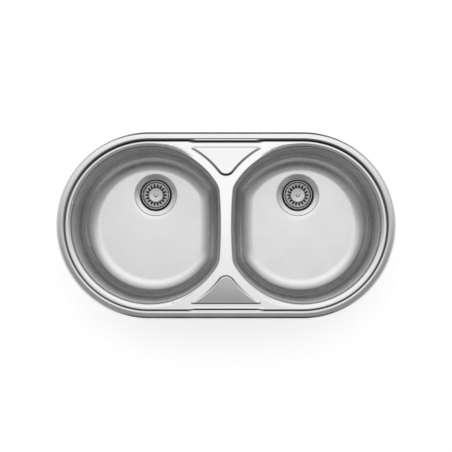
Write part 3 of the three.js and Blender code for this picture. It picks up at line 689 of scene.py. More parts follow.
def make_bowl(side):
    skin = Skin()
    top = -COLLAR_DEPTH - SEAM_GAP
    wall_run = (top - FLOOR_Z) * math.tan(DRAFT)
    inset_end = wall_run + FLOOR_R * math.tan(math.pi / 4 - DRAFT / 2)
    centre = (inset_end, FLOOR_Z + FLOOR_R)
    fillet = arc(*centre, FLOOR_R, math.pi + DRAFT, 1.5 * math.pi, 30)
    shoulder = arc(0, top - SHOULDER, SHOULDER, QUARTER_TURN, DRAFT, 6)
    wall_start, wall_end = shoulder[-1], fillet[0]
    wall = [wall_start + (wall_end - wall_start) * t for t in np.linspace(0, 1, 13)[1:-1]]
    profile = np.vstack(([(-0.2, top)], shoulder, wall, fillet))
    rings = []
    for inset, height in profile:
        ring = bowl_outline(side, inset)
        blend = min(1.0, max(0.0, (top - height) / (top - FLOOR_Z)))
        rings.append(with_height(ring, height + floor_rise(side, ring) * blend))
    edge = bowl_outline(side, inset_end)
    offset = edge - (side * WASTE_X, WASTE_Y)
    direction = offset / np.linalg.norm(offset, axis=1)[:, None]
    circle = lambda radius: direction * radius + (side * WASTE_X, WASTE_Y)
    outer = circle(FLANGE_RECESS_R + RECESS_ROUND)
    for t in (0.03, 0.12, 0.25, 0.4, 0.55, 0.7, 0.82, 0.92, 1):
        ring = edge + (outer - edge) * t
        rings.append(with_height(ring, FLOOR_Z + floor_rise(side, ring)))
    for turn in np.linspace(0, QUARTER_TURN, 6)[1:]:
        ring = circle(FLANGE_RECESS_R + RECESS_ROUND * (1 - math.sin(turn)))
        rings.append(with_height(ring, FLOOR_Z - RECESS_ROUND * (1 - math.cos(turn))))
    for radius in (FLANGE_RECESS_R, FLANGE_RECESS_R - 0.4, 52, WASTE_HOLE_R + 0.4, WASTE_HOLE_R):
        ring = circle(radius)
        rings.append(with_height(ring, SEAT_Z + dish(radius)))
    skin.loft(rings)
    return thicken(new_object("bowl", skin.mesh("bowl")), SHEET)


# ---- the waste, about its own axis
ROUND_STEPS = 96                  # steps round the large turned pieces
FLANGE_SHEET = 1.0
CUP_R = 43.0
CUP_MOUTH_R = 41.0                # the flange turns down into the cup at this radius
CUP_DEPTH = 28.0
CUP_BOTTOM_R = 31.0
CUP_BOTTOM = FLANGE_TOP - CUP_DEPTH
CUP_DIMPLE_R = 8.0
CUP_DIMPLE_DEPTH = 4.2
DRAIN_IN = CUP_DIMPLE_R + 4
DRAIN_OUT = 23.0
DRAIN_SLOTS = 6
DRAIN_LAND = 7.2                  # half of the web between two drain slots, degrees
SCREW_R = 3.0
RUN = 0.3                         # clearance of a pin or a screw in its hole
GAP = 0.3                         # between a piece and the one that it lies on

BASKET_R = 38.0
BASKET_SHEET = 0.8
BASKET_RIM = FLANGE_TOP - 4.5
BASKET_FLOOR = BASKET_RIM - 11
BASKET_BEAD_R = 29.5
WEDGE_SLOTS = 18
WEDGE_IN = 14.7
WEDGE_OUT = 28.4
WEDGE_WIDTH = 5.4
WEDGE_NARROWING = 0.7             # share of its width that a wedge slot loses outwards
WALL_SLOT_WIDTH = 2.0
WALL_SLOT_IN = BASKET_BEAD_R + 3.2
WALL_SLOT_OUT = BASKET_R - 3.0

KNOB_R = 20.2
KNOB_NECK_R = 6.0
KNOB_THICK = 2.4
KNOB_BOTTOM = BASKET_FLOOR + GAP
DISC_BOTTOM = KNOB_BOTTOM + 6
DISC_TOP = DISC_BOTTOM + KNOB_THICK
PIP_R = 4.6
STEM_R = 3.0
STEM_TOP = DISC_BOTTOM + 0.4
STOPPER_R = 27.5
STOPPER_BOTTOM = CUP_BOTTOM + GAP
STOPPER_TOP = STOPPER_BOTTOM + 3


def slot_loop(inner, outer, start, end):
    """A curved slot between two radii with rounded corners; angles in degrees."""
    sides = [arc(0, 0, outer, math.radians(start), math.radians(end), 14),
             arc(0, 0, inner, math.radians(end), math.radians(start), 8)]
    return rounded(np.vstack(sides), 1.5)


def make_cup():
    skin = Skin()
    wall = [
        (FLANGE_R, FLANGE_TOP - 0.6),
        (FLANGE_R - 1.0, FLANGE_TOP + dish(FLANGE_R - 1.0)),
        (CUP_MOUTH_R + 2.6, FLANGE_TOP + dish(CUP_MOUTH_R + 2.6)),
        (CUP_MOUTH_R, FLANGE_TOP + dish(CUP_R) - 1.6),
        (CUP_MOUTH_R - 0.4, CUP_BOTTOM + 10),
        (CUP_R - 4.5, CUP_BOTTOM + 2.2),
        (CUP_BOTTOM_R, CUP_BOTTOM),
        (CUP_BOTTOM_R - 3, CUP_BOTTOM),
    ]
    outer = rounded(wall, 3.0, closed=False, steps=6)
    skin.lathe(outer, ROUND_STEPS)
    dimple = [
        (DRAIN_IN - 2, CUP_BOTTOM), (CUP_DIMPLE_R, CUP_BOTTOM),
        (CUP_DIMPLE_R - 1, CUP_BOTTOM - CUP_DIMPLE_DEPTH), (SCREW_R + RUN, CUP_BOTTOM - CUP_DIMPLE_DEPTH),
    ]
    inner = rounded(dimple, 1.0, closed=False)
    skin.lathe(inner, ROUND_STEPS)
    circle = unit_circle(ROUND_STEPS)
    pitch = 360 / DRAIN_SLOTS
    slots = [slot_loop(DRAIN_IN, DRAIN_OUT, i * pitch + DRAIN_LAND, (i + 1) * pitch - DRAIN_LAND)
             for i in range(DRAIN_SLOTS)]
    out, faces = triangulate(circle * outer[-1][0], [circle * inner[0][0], *slots])
    skin.fill(with_height(out, CUP_BOTTOM), faces)
    return thicken(new_object("cup", skin.mesh("cup")), FLANGE_SHEET)


# The basket is one sector, drawn flat as (angle, distance along its section), and repeated.
BASKET_SECTION = rounded([
    (STEM_R + RUN, BASKET_FLOOR),
    (WEDGE_OUT + 0.7, BASKET_FLOOR),
    (BASKET_BEAD_R + 0.8, BASKET_FLOOR + 1.4),
    (BASKET_BEAD_R + 2.6, BASKET_FLOOR + 0.9),
    (BASKET_R - 2.4, BASKET_RIM - 2),
    (BASKET_R - 1.4, BASKET_RIM),
    (BASKET_R, BASKET_RIM - 0.8),
], 0.8, closed=False)
SECTION_RUN = distances(BASKET_SECTION)


def slot_side(inner, outer, width, count, squareness, narrowing=0.0):
    """One side of a round-ended slot, as (angle from its middle, distance along the section)."""
    share = np.linspace(0, 1, count)
    radii = inner + (outer - inner) * share
    reach = np.sqrt(np.clip(1 - (2 * share - 1) ** squareness, 0.04, 1))
    turns = width * (1 - narrowing * share) * reach / 2 / radii
    return np.column_stack((turns, np.interp(radii, BASKET_SECTION[:, 0], SECTION_RUN)))


def basket_sector():
    """One pitch of the basket: half a wall slot at each side and a wedge slot between."""
    half = math.pi / WEDGE_SLOTS
    other_side = (-1, 1)
    margin = 0.05                     # keeps the section's own points off the ends of a slot
    wedge = slot_side(WEDGE_IN, WEDGE_OUT, WEDGE_WIDTH, 9, 8, WEDGE_NARROWING)
    wedge = np.vstack((wedge, (wedge * other_side)[::-1]))
    notch = slot_side(WALL_SLOT_IN, WALL_SLOT_OUT, WALL_SLOT_WIDTH, 7, 6)
    notch = [(half - turn, run) for turn, run in notch]
    right = [(half, run) for run in SECTION_RUN if run < notch[0][1] - margin]
    right += [(half, notch[0][1]), *notch, (half, notch[-1][1])]
    right += [(half, run) for run in SECTION_RUN if run > notch[-1][1] + margin]
    right = np.array(right)
    outline = np.vstack((right, (right * other_side)[::-1]))
    across = np.linspace(-half, half, 7)[1:-1]
    loose = np.array([(turn, run) for run in SECTION_RUN[1:-1] for turn in across])
    keep = between(loose, outline, [wedge])
    scale = np.array((20.0, 1.0))          # brings angles near the size of distances
    for ring in (wedge, outline):
        keep &= distance_to(loose * scale, ring * scale) > 0.35
    out, faces = triangulate(outline, [wedge], loose[keep])
    radius, height = (np.interp(out[:, 1], SECTION_RUN, BASKET_SECTION[:, i]) for i in (0, 1))
    skin = Skin()
    skin.fill(np.column_stack((radius * np.cos(out[:, 0]), radius * np.sin(out[:, 0]), height)), faces)
    return new_object("basket_sector", skin.mesh("basket_sector"))


# ---- basket, knob, stem, stopper
def make_basket(finish):
    obj = basket_sector()
    apply_tree(obj, ROUND_ARRAY, Count=WEDGE_SLOTS, Weld=0.03 * MM, Finish=finish)
    obj.data.shade_smooth()
    return thicken(obj, BASKET_SHEET)


def make_knob(finish, face_finish):
    bore = STEM_R + RUN
    obj = turned_solid("knob", [
        (0, STEM_TOP + GAP), (bore, STEM_TOP + GAP), (bore, KNOB_BOTTOM), (KNOB_NECK_R, KNOB_BOTTOM),
        (KNOB_NECK_R, DISC_BOTTOM), (KNOB_R, DISC_BOTTOM), (KNOB_R, DISC_TOP - 1.1),
        (KNOB_R - 2.4, DISC_TOP), (PIP_R + 2.5, DISC_TOP - 0.75), (PIP_R, DISC_TOP - 0.5),
        (PIP_R * 0.62, DISC_TOP + 1.7), (0, DISC_TOP + 2),
    ], 0.7, ROUND_STEPS, corner_steps=5)
    return two_tone(obj, finish, face_finish, lambda face: (
        PIP_R + 0.5 < math.hypot(*face.center[:2]) / MM < KNOB_R - 2.8 and face.normal.z > 0.5))


def make_stem():
    collar = BASKET_FLOOR - BASKET_SHEET - GAP
    return turned_solid("stem", [
        (0, STOPPER_TOP + GAP), (STEM_R + 3, STOPPER_TOP + GAP), (STEM_R + 3, STOPPER_TOP + 1.6),
        (STEM_R + 0.8, STOPPER_TOP + 2.4), (STEM_R + 0.8, collar - 1.2), (STEM_R + 2.5, collar - 1.2),
        (STEM_R + 2.5, collar), (STEM_R, collar), (STEM_R, STEM_TOP), (0, STEM_TOP),
    ], 0.3, 40)


def make_stopper():
    return turned_solid("stopper", [
        (0, STOPPER_BOTTOM), (STOPPER_R - 1.5, STOPPER_BOTTOM), (STOPPER_R, STOPPER_BOTTOM + 1),
        (STOPPER_R - 0.8, STOPPER_TOP - 0.6), (STOPPER_R - 5, STOPPER_TOP), (0, STOPPER_TOP),
    ], 0.5, 72)


# ---- seals and waste body
BODY_FLANGE_R = 53.0
BODY_WALL = 2.5
BODY_DEPTH = 42.0
LOWER_SEAL_THICK = 3.0
SPIGOT_R = 23.9
SPIGOT_LENGTH = 26.0
BODY_TOP = -SHEET - GAP - LOWER_SEAL_THICK - GAP
BODY_BOTTOM = BODY_TOP - BODY_DEPTH
SPIGOT_END = BODY_BOTTOM - SPIGOT_LENGTH
SPIDER_HEIGHT = 7.0
SPIDER_WIDTH = 4.0
SPIDER_BOSS_R = 7.0
SPIDER_TOP = CUP_BOTTOM - CUP_DIMPLE_DEPTH - FLANGE_SHEET - GAP
BELL_OUTER = CUP_R + FLANGE_SHEET + 0.6 + BODY_WALL
RIBS = 3                          # between the boss of the spider and the bell
FINS = 12                         # under the flange of the waste body
SCREW_HEAD = 3.2
SCREW_HEAD_R = 5.5
SCREW_TOP = CUP_BOTTOM - CUP_DIMPLE_DEPTH + GAP + SCREW_HEAD


def make_seal(name, inner, outer, bottom, top):
    corners = [(inner, bottom), (outer, bottom), (outer, top), (inner, top)]
    return turned(name, rounded([(r, z + dish(r)) for r, z in corners], 0.25), ROUND_STEPS)


def spokes(name, count, first, *corners):
    """Equal blocks evenly round the axis, the first at an angle in degrees."""
    blocks = [from_skin(name, oblong(*corners)) for _ in range(count)]
    return [move(each, 0, 0, 0, math.radians(first + 360 / count * i)) for i, each in enumerate(blocks)]


def threaded(obj, radius, ridge, bottom, length, turns, finish):
    """Adds a thread to an upright piece on the axis."""
    return apply_tree(obj, THREAD, Radius=radius * MM, Ridge=ridge * MM, Bottom=bottom * MM,
                      Length=length * MM, Turns=turns, Finish=finish)


def make_waste_body(finish):
    inner = BELL_OUTER - BODY_WALL
    rim = BODY_TOP + dish(BODY_FLANGE_R)
    bell = turned("bell", rounded([
        (BODY_FLANGE_R, rim - 3), (BODY_FLANGE_R, rim), (inner, BODY_TOP + dish(inner)),
        (inner, BODY_TOP - 20), (inner - 5, BODY_TOP - 30), (SPIGOT_R - BODY_WALL, BODY_BOTTOM),
        (SPIGOT_R - BODY_WALL, SPIGOT_END), (SPIGOT_R - 0.9, SPIGOT_END), (SPIGOT_R - 0.9, BODY_BOTTOM - 4),
        (SPIGOT_R + 3, BODY_BOTTOM - 2), (BELL_OUTER - 5, BODY_TOP - 32), (BELL_OUTER, BODY_TOP - 21),
        (BELL_OUTER, rim - 3),
    ], 1.2), ROUND_STEPS)
    bottom = SPIDER_TOP - SPIDER_HEIGHT
    bore = SCREW_R + RUN
    boss = turned("boss", rounded([(bore, bottom - 4), (SPIDER_BOSS_R, bottom - 4),
                                   (SPIDER_BOSS_R, SPIDER_TOP), (bore, SPIDER_TOP)], 0.5), 40)
    ribs = spokes("rib", RIBS, 90, SPIDER_BOSS_R - 2, inner + 0.5, -SPIDER_WIDTH / 2, SPIDER_WIDTH / 2,
                  bottom, SPIDER_TOP)
    fins = spokes("fin", FINS, 15, BELL_OUTER - 0.5, BODY_FLANGE_R - 0.8, -1, 1, BODY_TOP - 12, rim - 2.8)
    body = join("waste_body", bell, boss, *ribs, *fins)
    body.data.shade_smooth()
    return threaded(body, SPIGOT_R - 1.0, 0.85, SPIGOT_END + 2, SPIGOT_LENGTH - 8, 7.5, finish)


def make_centre_screw(finish):
    end = SPIDER_TOP - SPIDER_HEIGHT - 1 + GAP
    head = SCREW_TOP - SCREW_HEAD
    shank = turned_solid("centre_screw", [
        (0, end), (SCREW_R - 0.4, end), (SCREW_R - 0.4, head), (SCREW_HEAD_R, head),
        (SCREW_HEAD_R, SCREW_TOP - 1.2), (SCREW_HEAD_R - 1.6, SCREW_TOP), (1.9, SCREW_TOP),
        (1.5, SCREW_TOP - 1.6), (0, SCREW_TOP - 1.6),
    ], 0.35, 48)
    return threaded(shank, SCREW_R - 0.4, 0.38, end + 0.5, head - end - 1.5, 8.0, finish)


# ---- gasket, pads and fixings
GASKET_IN = 5.6
GASKET_WIDTH = 6.4
GASKET_TOP = RIM_EDGE_Z - SHEET - GAP
PAD_R = 62.0
PAD_THICK = 2.5
PAD_Y = -42.0
BRACKET_D = 22.5
BRACKET_SHEET = 1.5
BRACKET_WIDTH = 22.0
BRACKET_TOP = DECK_Z - SHEET - GAP
SHELF_Z = -22.0
SHELF_REACH = 12.0
SHELF_TOP = SHELF_Z + BRACKET_SHEET
CLIP_SCREW_X = BRACKET_D + BRACKET_SHEET + SHELF_REACH / 2
CLIP_TOP = SHELF_Z - 30
CLIP_SHEET = 2.0
CLIP_WIDTH = 14.0
CLIP_LENGTH = 38.0
CLIP_HOOK = 8.0
CLIP_TEETH = 4
CLIP_TOOTH = 1.6
CLIP_SCREW_R = 2.5
CLIP_SCREW_TOP = -18.0
CLIP_HEAD_TOP = CLIP_TOP - CLIP_SHEET - GAP
CLIP_HEAD = 4.0
CLIP_HEAD_R = 5.0
CLIP_SIDE_X = 112.0
CLIP_END_ANGLE = 45.0


def make_gasket(finish):
    path = with_height(sink_outline(GASKET_IN + GASKET_WIDTH / 2), GASKET_TOP / 2) * MM
    count = len(path)
    data = bpy.data.meshes.new("gasket")
    data.from_pydata(path.tolist(), [(i, (i + 1) % count) for i in range(count)], [])
    obj = apply_tree(new_object("gasket", data), EDGE_SWEEP, Width=GASKET_WIDTH * MM, Height=GASKET_TOP * MM,
                     Rounding=1.4 * MM, Finish=finish)
    face_outwards(obj)
    return obj


def make_pad(side):
    circle = unit_circle(120)
    skin = Skin()
    profile = rounded([(0.01, PAD_THICK), (PAD_R, PAD_THICK), (PAD_R, 0), (0.01, 0)], 0.9, closed=False)
    rings = []
    for radius, below in profile:
        ring = circle * radius + (side * CENTRE_X, PAD_Y)
        rings.append(with_height(ring, FLOOR_Z - SHEET - GAP + floor_rise(side, ring) - below))
    skin.loft(rings)
    return from_skin("pad", skin, weld=0.02)


def make_bracket():
    plate = BRACKET_D + BRACKET_SHEET
    section = rounded([
        (BRACKET_D, BRACKET_TOP), (BRACKET_D, SHELF_Z), (plate + SHELF_REACH, SHELF_Z),
        (plate + SHELF_REACH, SHELF_TOP), (plate, SHELF_TOP), (plate, BRACKET_TOP),
    ], 0.5)
    strip = extruded("bracket", section, -BRACKET_WIDTH / 2, BRACKET_WIDTH / 2)
    cut_hole(strip, CLIP_SCREW_X, CLIP_SCREW_R + RUN, SHELF_Z - 2, SHELF_TOP + 2)
    return strip


def make_clip():
    half = CLIP_WIDTH / 2
    reach = half * 0.7                # half the width at the hook
    foot = CLIP_TOP - CLIP_SHEET
    arm_sides = [(CLIP_SCREW_X + half, 0), (CLIP_SCREW_X + reach, CLIP_LENGTH),
                 (CLIP_SCREW_X - reach, CLIP_LENGTH), (CLIP_SCREW_X - half, 0)]
    plan = np.vstack((arc(CLIP_SCREW_X, 0, half, math.pi, FULL_TURN, 24),
                      rounded(arm_sides, 0.4, closed=False)[1:-1]))
    arm = from_skin("arm", block(plan, foot, CLIP_TOP, 0.3))
    cut_hole(arm, CLIP_SCREW_X, CLIP_SCREW_R + RUN, foot - 2, CLIP_TOP + 2)
    tip = CLIP_TOP + CLIP_HOOK
    teeth = []
    for i in range(CLIP_TEETH):
        left = CLIP_SCREW_X - reach + 2 * reach * i / CLIP_TEETH
        teeth += [(left, tip - CLIP_TOOTH), (left + reach / CLIP_TEETH, tip)]
    teeth.append((CLIP_SCREW_X + reach, tip - CLIP_TOOTH))
    outline = rounded([(CLIP_SCREW_X - reach, foot), *teeth, (CLIP_SCREW_X + reach, foot)], 0.25, steps=2)
    return join("clip", arm, extruded("hook", outline, CLIP_LENGTH - CLIP_SHEET, CLIP_LENGTH))


def make_clip_screw(finish):
    root = CLIP_SCREW_R - 0.35
    low = CLIP_HEAD_TOP - CLIP_HEAD
    shank = turned_solid("clip_screw", [
        (0, low + 1.4), (1.6, low + 1.4), (2.2, low), (CLIP_HEAD_R - 0.8, low), (CLIP_HEAD_R, low + 1.4),
        (CLIP_HEAD_R, CLIP_HEAD_TOP), (root, CLIP_HEAD_TOP), (root, CLIP_SCREW_TOP - 1.2),
        (root - 0.9, CLIP_SCREW_TOP), (0, CLIP_SCREW_TOP),
    ], 0.3, 36)
    move(shank, CLIP_SCREW_X, 0, 0)
    core = [(0, low + 2), (0.4, low + 2), (0.4, low + 2.4), (0, low + 2.4)]
    thread = turned("thread", core, 8, closed=False)
    threaded(thread, root, 0.34, CLIP_HEAD_TOP + 1, CLIP_SCREW_TOP - CLIP_HEAD_TOP - 4, 26.0, finish)
    move(thread, CLIP_SCREW_X, 0, 0)
    return join("clip_screw", shank, thread)


def clip_places():
    """Name, point on the outline and inward direction of each fixing."""
    rows = (("rear", 1), ("front", -1))
    for row, end in rows:
        for hand, side in SIDES:
            yield f"{row}_{hand}", side * CLIP_SIDE_X, end * OUTLINE_R, -90 * end
    for hand, side in SIDES:
        for row, end in rows:
            angle = end * CLIP_END_ANGLE if side > 0 else 180 - end * CLIP_END_ANGLE
            x, y = arc(side * CENTRE_X, 0, OUTLINE_R, math.radians(angle), 0, 1)[0]
            yield f"end_{hand}_{row}", x, y, angle + 180


# ---- finishes
def new_finish(name, metallic=0.0):
    """A finish, its node tree and the inputs of its shader."""
    finish = bpy.data.materials.new(name)
    finish.use_nodes = True
    shader = finish.node_tree.nodes["Principled BSDF"].inputs
    shader["Metallic"].default_value = metallic
    return finish, finish.node_tree, shader


def place_on_piece(tree):
    return add_node(tree, "ShaderNodeTexCoord")["Object"]


def noise(tree, place, scale, detail=3.0, rough=0.55):
    return add_node(tree, "ShaderNodeTexNoise", {
        "Vector": place, "Scale": scale, "Detail": detail, "Roughness": rough})["Fac"]


def spread(tree, value, low, high, from_low=0.3, from_high=0.7):
    """Brings a value from one range into another."""
    return add_node(tree, "ShaderNodeMapRange", {
        "Value": value, "From Min": from_low, "From Max": from_high,
        "To Min": low, "To Max": high})["Result"]


def ramp(tree, value, spots):
    """A colour ramp through pairs of a position and a colour."""
    node = tree.nodes.new("ShaderNodeValToRGB")
    elements = node.color_ramp.elements
    elements.remove(elements[1])
    for i, (position, colour) in enumerate(spots):
        spot = elements[0] if i == 0 else elements.new(position)
        spot.position = position
        spot.color = (*colour, 1)
    tree.links.new(value, node.inputs["Fac"])
    return node.outputs["Color"]


def tint(tree, shader, value, tone, shade):
    """Base colour between a shade of the tone and the tone, by a value from 0 to 1."""
    dark = tuple(part * shade for part in tone)
    feed(tree, ramp(tree, value, [(0, dark), (1, tone)]), shader["Base Color"])


def bump(tree, shader, height, distance, below=None):
    inputs = {"Distance": distance, "Height": height}
    if below is not None:
        inputs["Normal"] = below
    normal = add_node(tree, "ShaderNodeBump", inputs)["Normal"]
    feed(tree, normal, shader["Normal"])
    return normal


def steel(name, tone, roughness, grain_depth, along=28.0, across=2600.0, by_uv=True):
    """Stainless steel with fine brushing along the grain and faint uneven patches."""
    finish, tree, shader = new_finish(name, metallic=1.0)
    place = place_on_piece(tree)
    grain = add_node(tree, "ShaderNodeUVMap", uv_map="grain")["UV"] if by_uv else place
    stretched = add_node(tree, "ShaderNodeMapping", {
        "Vector": grain, "Scale": (along, across, across)})["Vector"]
    lines = noise(tree, stretched, 1.0, 4.0, 0.6)
    patches = noise(tree, place, 14.0, 2.0)
    specks = noise(tree, place, 900.0, 2.0)
    line_rough = spread(tree, lines, roughness * 0.86, roughness * 1.14)
    patch_rough = spread(tree, patches, -0.018, 0.018)
    feed(tree, reckon(tree, "ADD", line_rough, patch_rough), shader["Roughness"])
    mixed = reckon(tree, "MULTIPLY", patches, specks)
    tint(tree, shader, spread(tree, mixed, 0.0, 1.0, 0.1, 0.45), tone, 0.965)
    bump(tree, shader, lines, grain_depth)
    return finish


def moulded(name, tone, shade, fine_scale, broad_scale, detail, roughness, grain):
    """Rubber or plastic with a fine grain, whose tone and gloss drift over the piece."""
    finish, tree, shader = new_finish(name)
    place = place_on_piece(tree)
    fine, broad = (noise(tree, place, scale, detail) for scale in (fine_scale, broad_scale))
    tint(tree, shader, spread(tree, broad, 0.0, 1.0), tone, shade)
    feed(tree, spread(tree, broad, *roughness), shader["Roughness"])
    bump(tree, shader, fine, grain)
    return finish


def plastic(name, tone):
    finish = moulded(name, tone, 0.93, 2200.0, 25.0, 2.0, (0.33, 0.44), 0.00003)
    shader = finish.node_tree.nodes["Principled BSDF"].inputs
    shader["Subsurface Weight"].default_value = 0.05
    shader["Subsurface Radius"].default_value = (0.002, 0.002, 0.002)
    return finish


def pad_finish(name, tone):
    """Bitumen pad with an embossed lozenge pattern."""
    finish, tree, shader = new_finish(name)
    place = place_on_piece(tree)
    turned_place = add_node(tree, "ShaderNodeMapping", {
        "Vector": place, "Rotation": (0, 0, math.radians(45))})["Vector"]
    cells = add_node(tree, "ShaderNodeTexVoronoi", {
        "Vector": turned_place, "Randomness": 0.0, "Scale": 160.0}, distance="CHEBYCHEV")
    lozenge = spread(tree, cells["Distance"], 1.0, 0.0, 0.32, 0.48)
    fine = noise(tree, place, 1800.0)
    tint(tree, shader, lozenge, tone, 0.6)
    feed(tree, spread(tree, fine, 0.62, 0.85), shader["Roughness"])
    bump(tree, shader, lozenge, 0.0006, below=bump(tree, shader, fine, 0.0001))
    return finish


def zinc(name, tone):
    """Zinc plating: spangled tone, blurred gloss."""
    finish, tree, shader = new_finish(name, metallic=1.0)
    place = place_on_piece(tree)
    spangle = add_node(tree, "ShaderNodeTexVoronoi", {"Vector": place, "Scale": 420.0})["Distance"]
    cloud = noise(tree, place, 260.0, 4.0)
    mixed = reckon(tree, "MULTIPLY", spangle, cloud)
    tint(tree, shader, spread(tree, mixed, 0.0, 1.0, 0.05, 0.4), tone, 0.78)
    feed(tree, spread(tree, cloud, 0.3, 0.46), shader["Roughness"])
    bump(tree, shader, cloud, 0.00005)
    return finish


FINISHES = {
    "satin_steel": steel("satin_steel", (0.67, 0.67, 0.675), 0.085, 0.0000006),
    "polished_steel": steel("polished_steel", (0.7, 0.7, 0.705), 0.12, 0.000002),
    "zinc_steel": zinc("zinc_steel", (0.6, 0.62, 0.64)),
    "black_rubber": moulded("black_rubber", (0.03, 0.03, 0.032), 0.75, 1400.0, 40.0, 3.0,
                            (0.52, 0.7), 0.00012),
    "grey_pad": pad_finish("grey_pad", (0.09, 0.095, 0.1)),
    "white_plastic": plastic("white_plastic", (0.8, 0.8, 0.79)),
}
BOWL_STEEL = steel("bowl_steel", (0.73, 0.73, 0.735), 0.27, 0.0000003)
BOWL_BACK = steel("bowl_back", (0.46, 0.46, 0.465), 0.4, 0.000006, 60.0, 900.0)
BASKET_STEEL = steel("basket_steel", (0.68, 0.68, 0.685), 0.15, 0.000004, 500.0, 500.0, by_uv=False)
KNOB_FACE = steel("knob_face", (0.66, 0.66, 0.665), 0.36, 0.000004, 60.0, 60.0, by_uv=False)
TURNED_STEEL = steel("turned_steel", (0.7, 0.7, 0.705), 0.15, 0.000002, 12.0, 3200.0)
# painted shade: near-black steel for the cup below the basket, so that the basket's slots look dark
SHADED_WELL_STEEL = steel("painted_shade_steel", (0.16, 0.16, 0.165), 0.5, 0.00001, 300.0, 300.0, by_uv=False)
BRACKET_STEEL = steel("bracket_steel", (0.6, 0.6, 0.605), 0.34, 0.00003, 700.0, 700.0, by_uv=False)

# ---- putting the pieces in place
ROUND_ARRAY = round_array_tree()
EDGE_SWEEP = edge_sweep_tree()
THREAD = thread_tree()
RECORD = frame["record"]
BODY_OF = {node: body for body, nodes in RECORD["behaviour"]["bodies"].items() for node in nodes}
SLOT_OF = {row["node"]: row["material_slot"] for row in RECORD["subparts"]}


def stand_for(obj, node, chosen=None):
    """The piece takes the node's place, its body and its slot's finish."""
    slot = SLOT_OF[node]
    obj.name = node + "_piece"
    worn = [finish for finish in obj.data.materials if finish]
    if len(set(worn)) < 2:
        obj.data.materials.clear()
        obj.data.materials.append(worn[0] if worn else chosen or FINISHES[slot])
        obj.data.polygons.foreach_set("material_index", [0] * len(obj.data.polygons))
    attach(obj, BODY_OF[node])
    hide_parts(node)


def on_back(side):
    """Tells whether a face of a bowl is on its unpolished outside."""
    middle = Vector((side * CENTRE_X, 0, FLOOR_Z / 2)) * MM
    return lambda face: face.normal.dot(face.center - middle) > 0


def in_well(face):
    """Is this face of the cup below its basket, where its steel is painted dark as shade?"""
    return face.center.z < (BASKET_FLOOR - 1) * MM


def place_waste(side, label):
    pieces = {
        # the cup's well below the basket gets painted shade
        "strainer_cup": two_tone(make_cup(), TURNED_STEEL, SHADED_WELL_STEEL, in_well),
        "upper_seal": make_seal("upper_seal", WASTE_HOLE_R + 1, FLANGE_R - 1.5, 0.45, 1.2),
        "lower_seal": make_seal("lower_seal", WASTE_HOLE_R + 2, BODY_FLANGE_R,
                                -SHEET - GAP - LOWER_SEAL_THICK, -SHEET - GAP),
        "waste_body": make_waste_body(FINISHES["white_plastic"]),
        "centre_screw": make_centre_screw(FINISHES["polished_steel"]),
        "stopper": make_stopper(),
        "stem": make_stem(),
        "basket": make_basket(BASKET_STEEL),
        "knob": make_knob(FINISHES["polished_steel"], KNOB_FACE),
    }
    for name, obj in pieces.items():
        stand_for(move(obj, side * WASTE_X, WASTE_Y, SEAT_Z), f"{label}_{name}")


def place_fixing(label, x, y, inward):
    parts = {
        "bracket": (make_bracket(), BRACKET_STEEL),
        "clip": (make_clip(), None),
        "clip_screw": (make_clip_screw(FINISHES["zinc_steel"]), None),
    }
    for name, (obj, finish) in parts.items():
        stand_for(move(obj, x, y, 0, math.radians(inward)), f"{label}_{name}", finish)


stand_for(make_deck(), "sink_deck")
for label, side in SIDES:
    bowl = two_tone(make_bowl(side), BOWL_STEEL, BOWL_BACK, on_back(side))
    stand_for(bowl, f"{label}_bowl")
    stand_for(make_pad(side), f"{label}_sound_pad")
    place_waste(side, label)
stand_for(make_gasket(FINISHES["black_rubber"]), "rim_gasket")
for label, x, y, inward in clip_places():
    place_fixing(label, x, y, inward)

# ---- floor, sky and camera, in metres
FLOOR_LEVEL = cad_box[0][2] - 0.004
FLOOR_REACH = 40.0
FLOOR_TONE = 0.88
FLOOR_GLOW = 0.62
CAMERA_ABOVE_RIM = 3.0
CAMERA_X = 0.04
CAMERA_Y = -0.0018
PICTURE_X = 0.0001                # middle of the picture, across the sink
FRAME_WIDTH = 1.143               # seen width at the rim
SENSOR = 36.0

# The sky's layers. Each is the product of two ramps: (sine, radiance) towards the rear, from
# -1 in front to 1 behind, and (sine, what is left of it) to either side.
SKY = [
    # the room all round, dark low down in front
    ([(-1, 0.08), (-0.7, 0.13), (-0.5, 0.28), (-0.35, 0.42), (-0.2, 0.38), (0, 0.45), (0.5, 0.42), (1, 0.4)],
     [(0, 1.0), (0.45, 1.0), (0.7, 0.85), (0.9, 0.7), (1, 0.6)]),
    # a broad soft light behind
    ([(-0.12, 0.0), (-0.06, 0.08), (0, 0.28), (0.06, 0.5), (0.14, 0.75), (0.25, 0.95), (0.42, 0.93),
      (0.55, 0.7), (0.7, 0.5), (0.9, 0.1)],
     [(0, 1.0), (0.2, 0.95), (0.35, 0.75), (0.5, 0.45), (0.65, 0.18), (0.85, 0.03), (1, 0.0)]),
    # a narrow light straight above
    ([(-0.15, 0.0), (-0.11, 0.58), (-0.06, 0.66), (0.02, 0.66), (0.1, 0.36), (0.2, 0.0)],
     [(0, 1.0), (0.06, 1.0), (0.12, 0.15), (0.17, 0.0)]),
]
# By the sine of the height above the horizon: what is left of the sky, and a pale band that
# it gains where the floor ends.
HORIZON = [(0, 0.1), (0.14, 0.12), (0.26, 0.6), (0.38, 1.0)]
HAZE = [(0, 0.9), (0.045, 0.9), (0.065, 0.0)]


def grey_ramp(tree, value, table):
    return ramp(tree, value, [(position, (level,) * 3) for position, level in table])


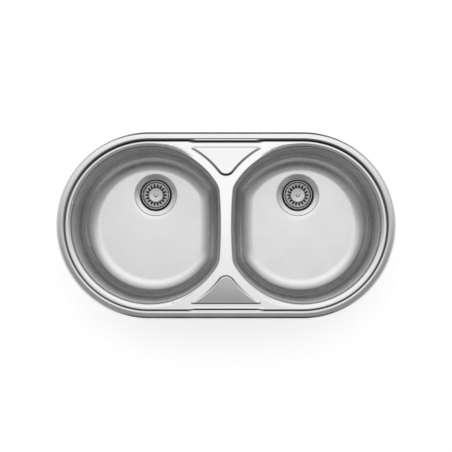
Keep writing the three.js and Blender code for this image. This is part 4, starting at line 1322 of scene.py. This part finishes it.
def sky():
    """Soft studio: bright above and behind, dark in front, dimmer to the sides."""
    world = bpy.data.worlds.new("studio")
    bpy.context.scene.world = world
    world.use_nodes = True
    tree = world.node_tree
    axes = add_node(tree, "ShaderNodeSeparateXYZ", {0: add_node(tree, "ShaderNodeTexCoord")["Generated"]})
    rearward = spread(tree, axes["Y"], 0, 1, -1, 1)
    sideways = reckon(tree, "ABSOLUTE", axes["X"])
    level = 0.0
    for depth_ramp, width_ramp in SKY:
        by_depth = grey_ramp(tree, rearward, [((sine + 1) / 2, part) for sine, part in depth_ramp])
        by_width = grey_ramp(tree, sideways, width_ramp)
        level = reckon(tree, "ADD", level, reckon(tree, "MULTIPLY", by_depth, by_width))
    level = reckon(tree, "MULTIPLY", level, grey_ramp(tree, axes["Z"], HORIZON))
    background = tree.nodes["Background"].inputs
    background["Color"].default_value = (1, 1, 1, 1)
    feed(tree, reckon(tree, "ADD", level, grey_ramp(tree, axes["Z"], HAZE)), background["Strength"])


def floor():
    """A wide pale floor that keeps the shadow and shows white to the eye and in the steel."""
    half = FLOOR_REACH
    plane = bpy.data.meshes.new("floor")
    plane.from_pydata([(-half, -half, 0), (half, -half, 0), (half, half, 0), (-half, half, 0)],
                      [], [(0, 1, 2, 3)])
    obj = new_object("floor", plane)
    obj.location.z = FLOOR_LEVEL
    finish, tree, shader = new_finish("floor")
    shader["Roughness"].default_value = 0.9
    shader["Specular IOR Level"].default_value = 0.0
    shader["Base Color"].default_value = (FLOOR_TONE, FLOOR_TONE, FLOOR_TONE, 1)
    shader["Emission Color"].default_value = (1, 1, 1, 1)
    path = add_node(tree, "ShaderNodeLightPath")
    seen = reckon(tree, "ADD", path["Is Camera Ray"], path["Is Glossy Ray"])
    seen = reckon(tree, "ADD", seen, path["Is Transmission Ray"])
    feed(tree, spread(tree, seen, 0.0, FLOOR_GLOW, 0.0, 1.0), shader["Emission Strength"])
    plane.materials.append(finish)


def camera():
    data = bpy.data.cameras.new("camera")
    data.sensor_width = SENSOR
    data.lens = SENSOR * CAMERA_ABOVE_RIM / FRAME_WIDTH
    data.shift_x = -(CAMERA_X - PICTURE_X) / FRAME_WIDTH
    obj = bpy.data.objects.new("camera", data)
    obj.location = (CAMERA_X, CAMERA_Y, CAMERA_ABOVE_RIM + RIM_CREST_Z * MM)
    bpy.context.scene.collection.objects.link(obj)
    bpy.context.scene.camera = obj


sky()
floor()
camera()
bpy.context.scene.view_settings.view_transform = "Standard"
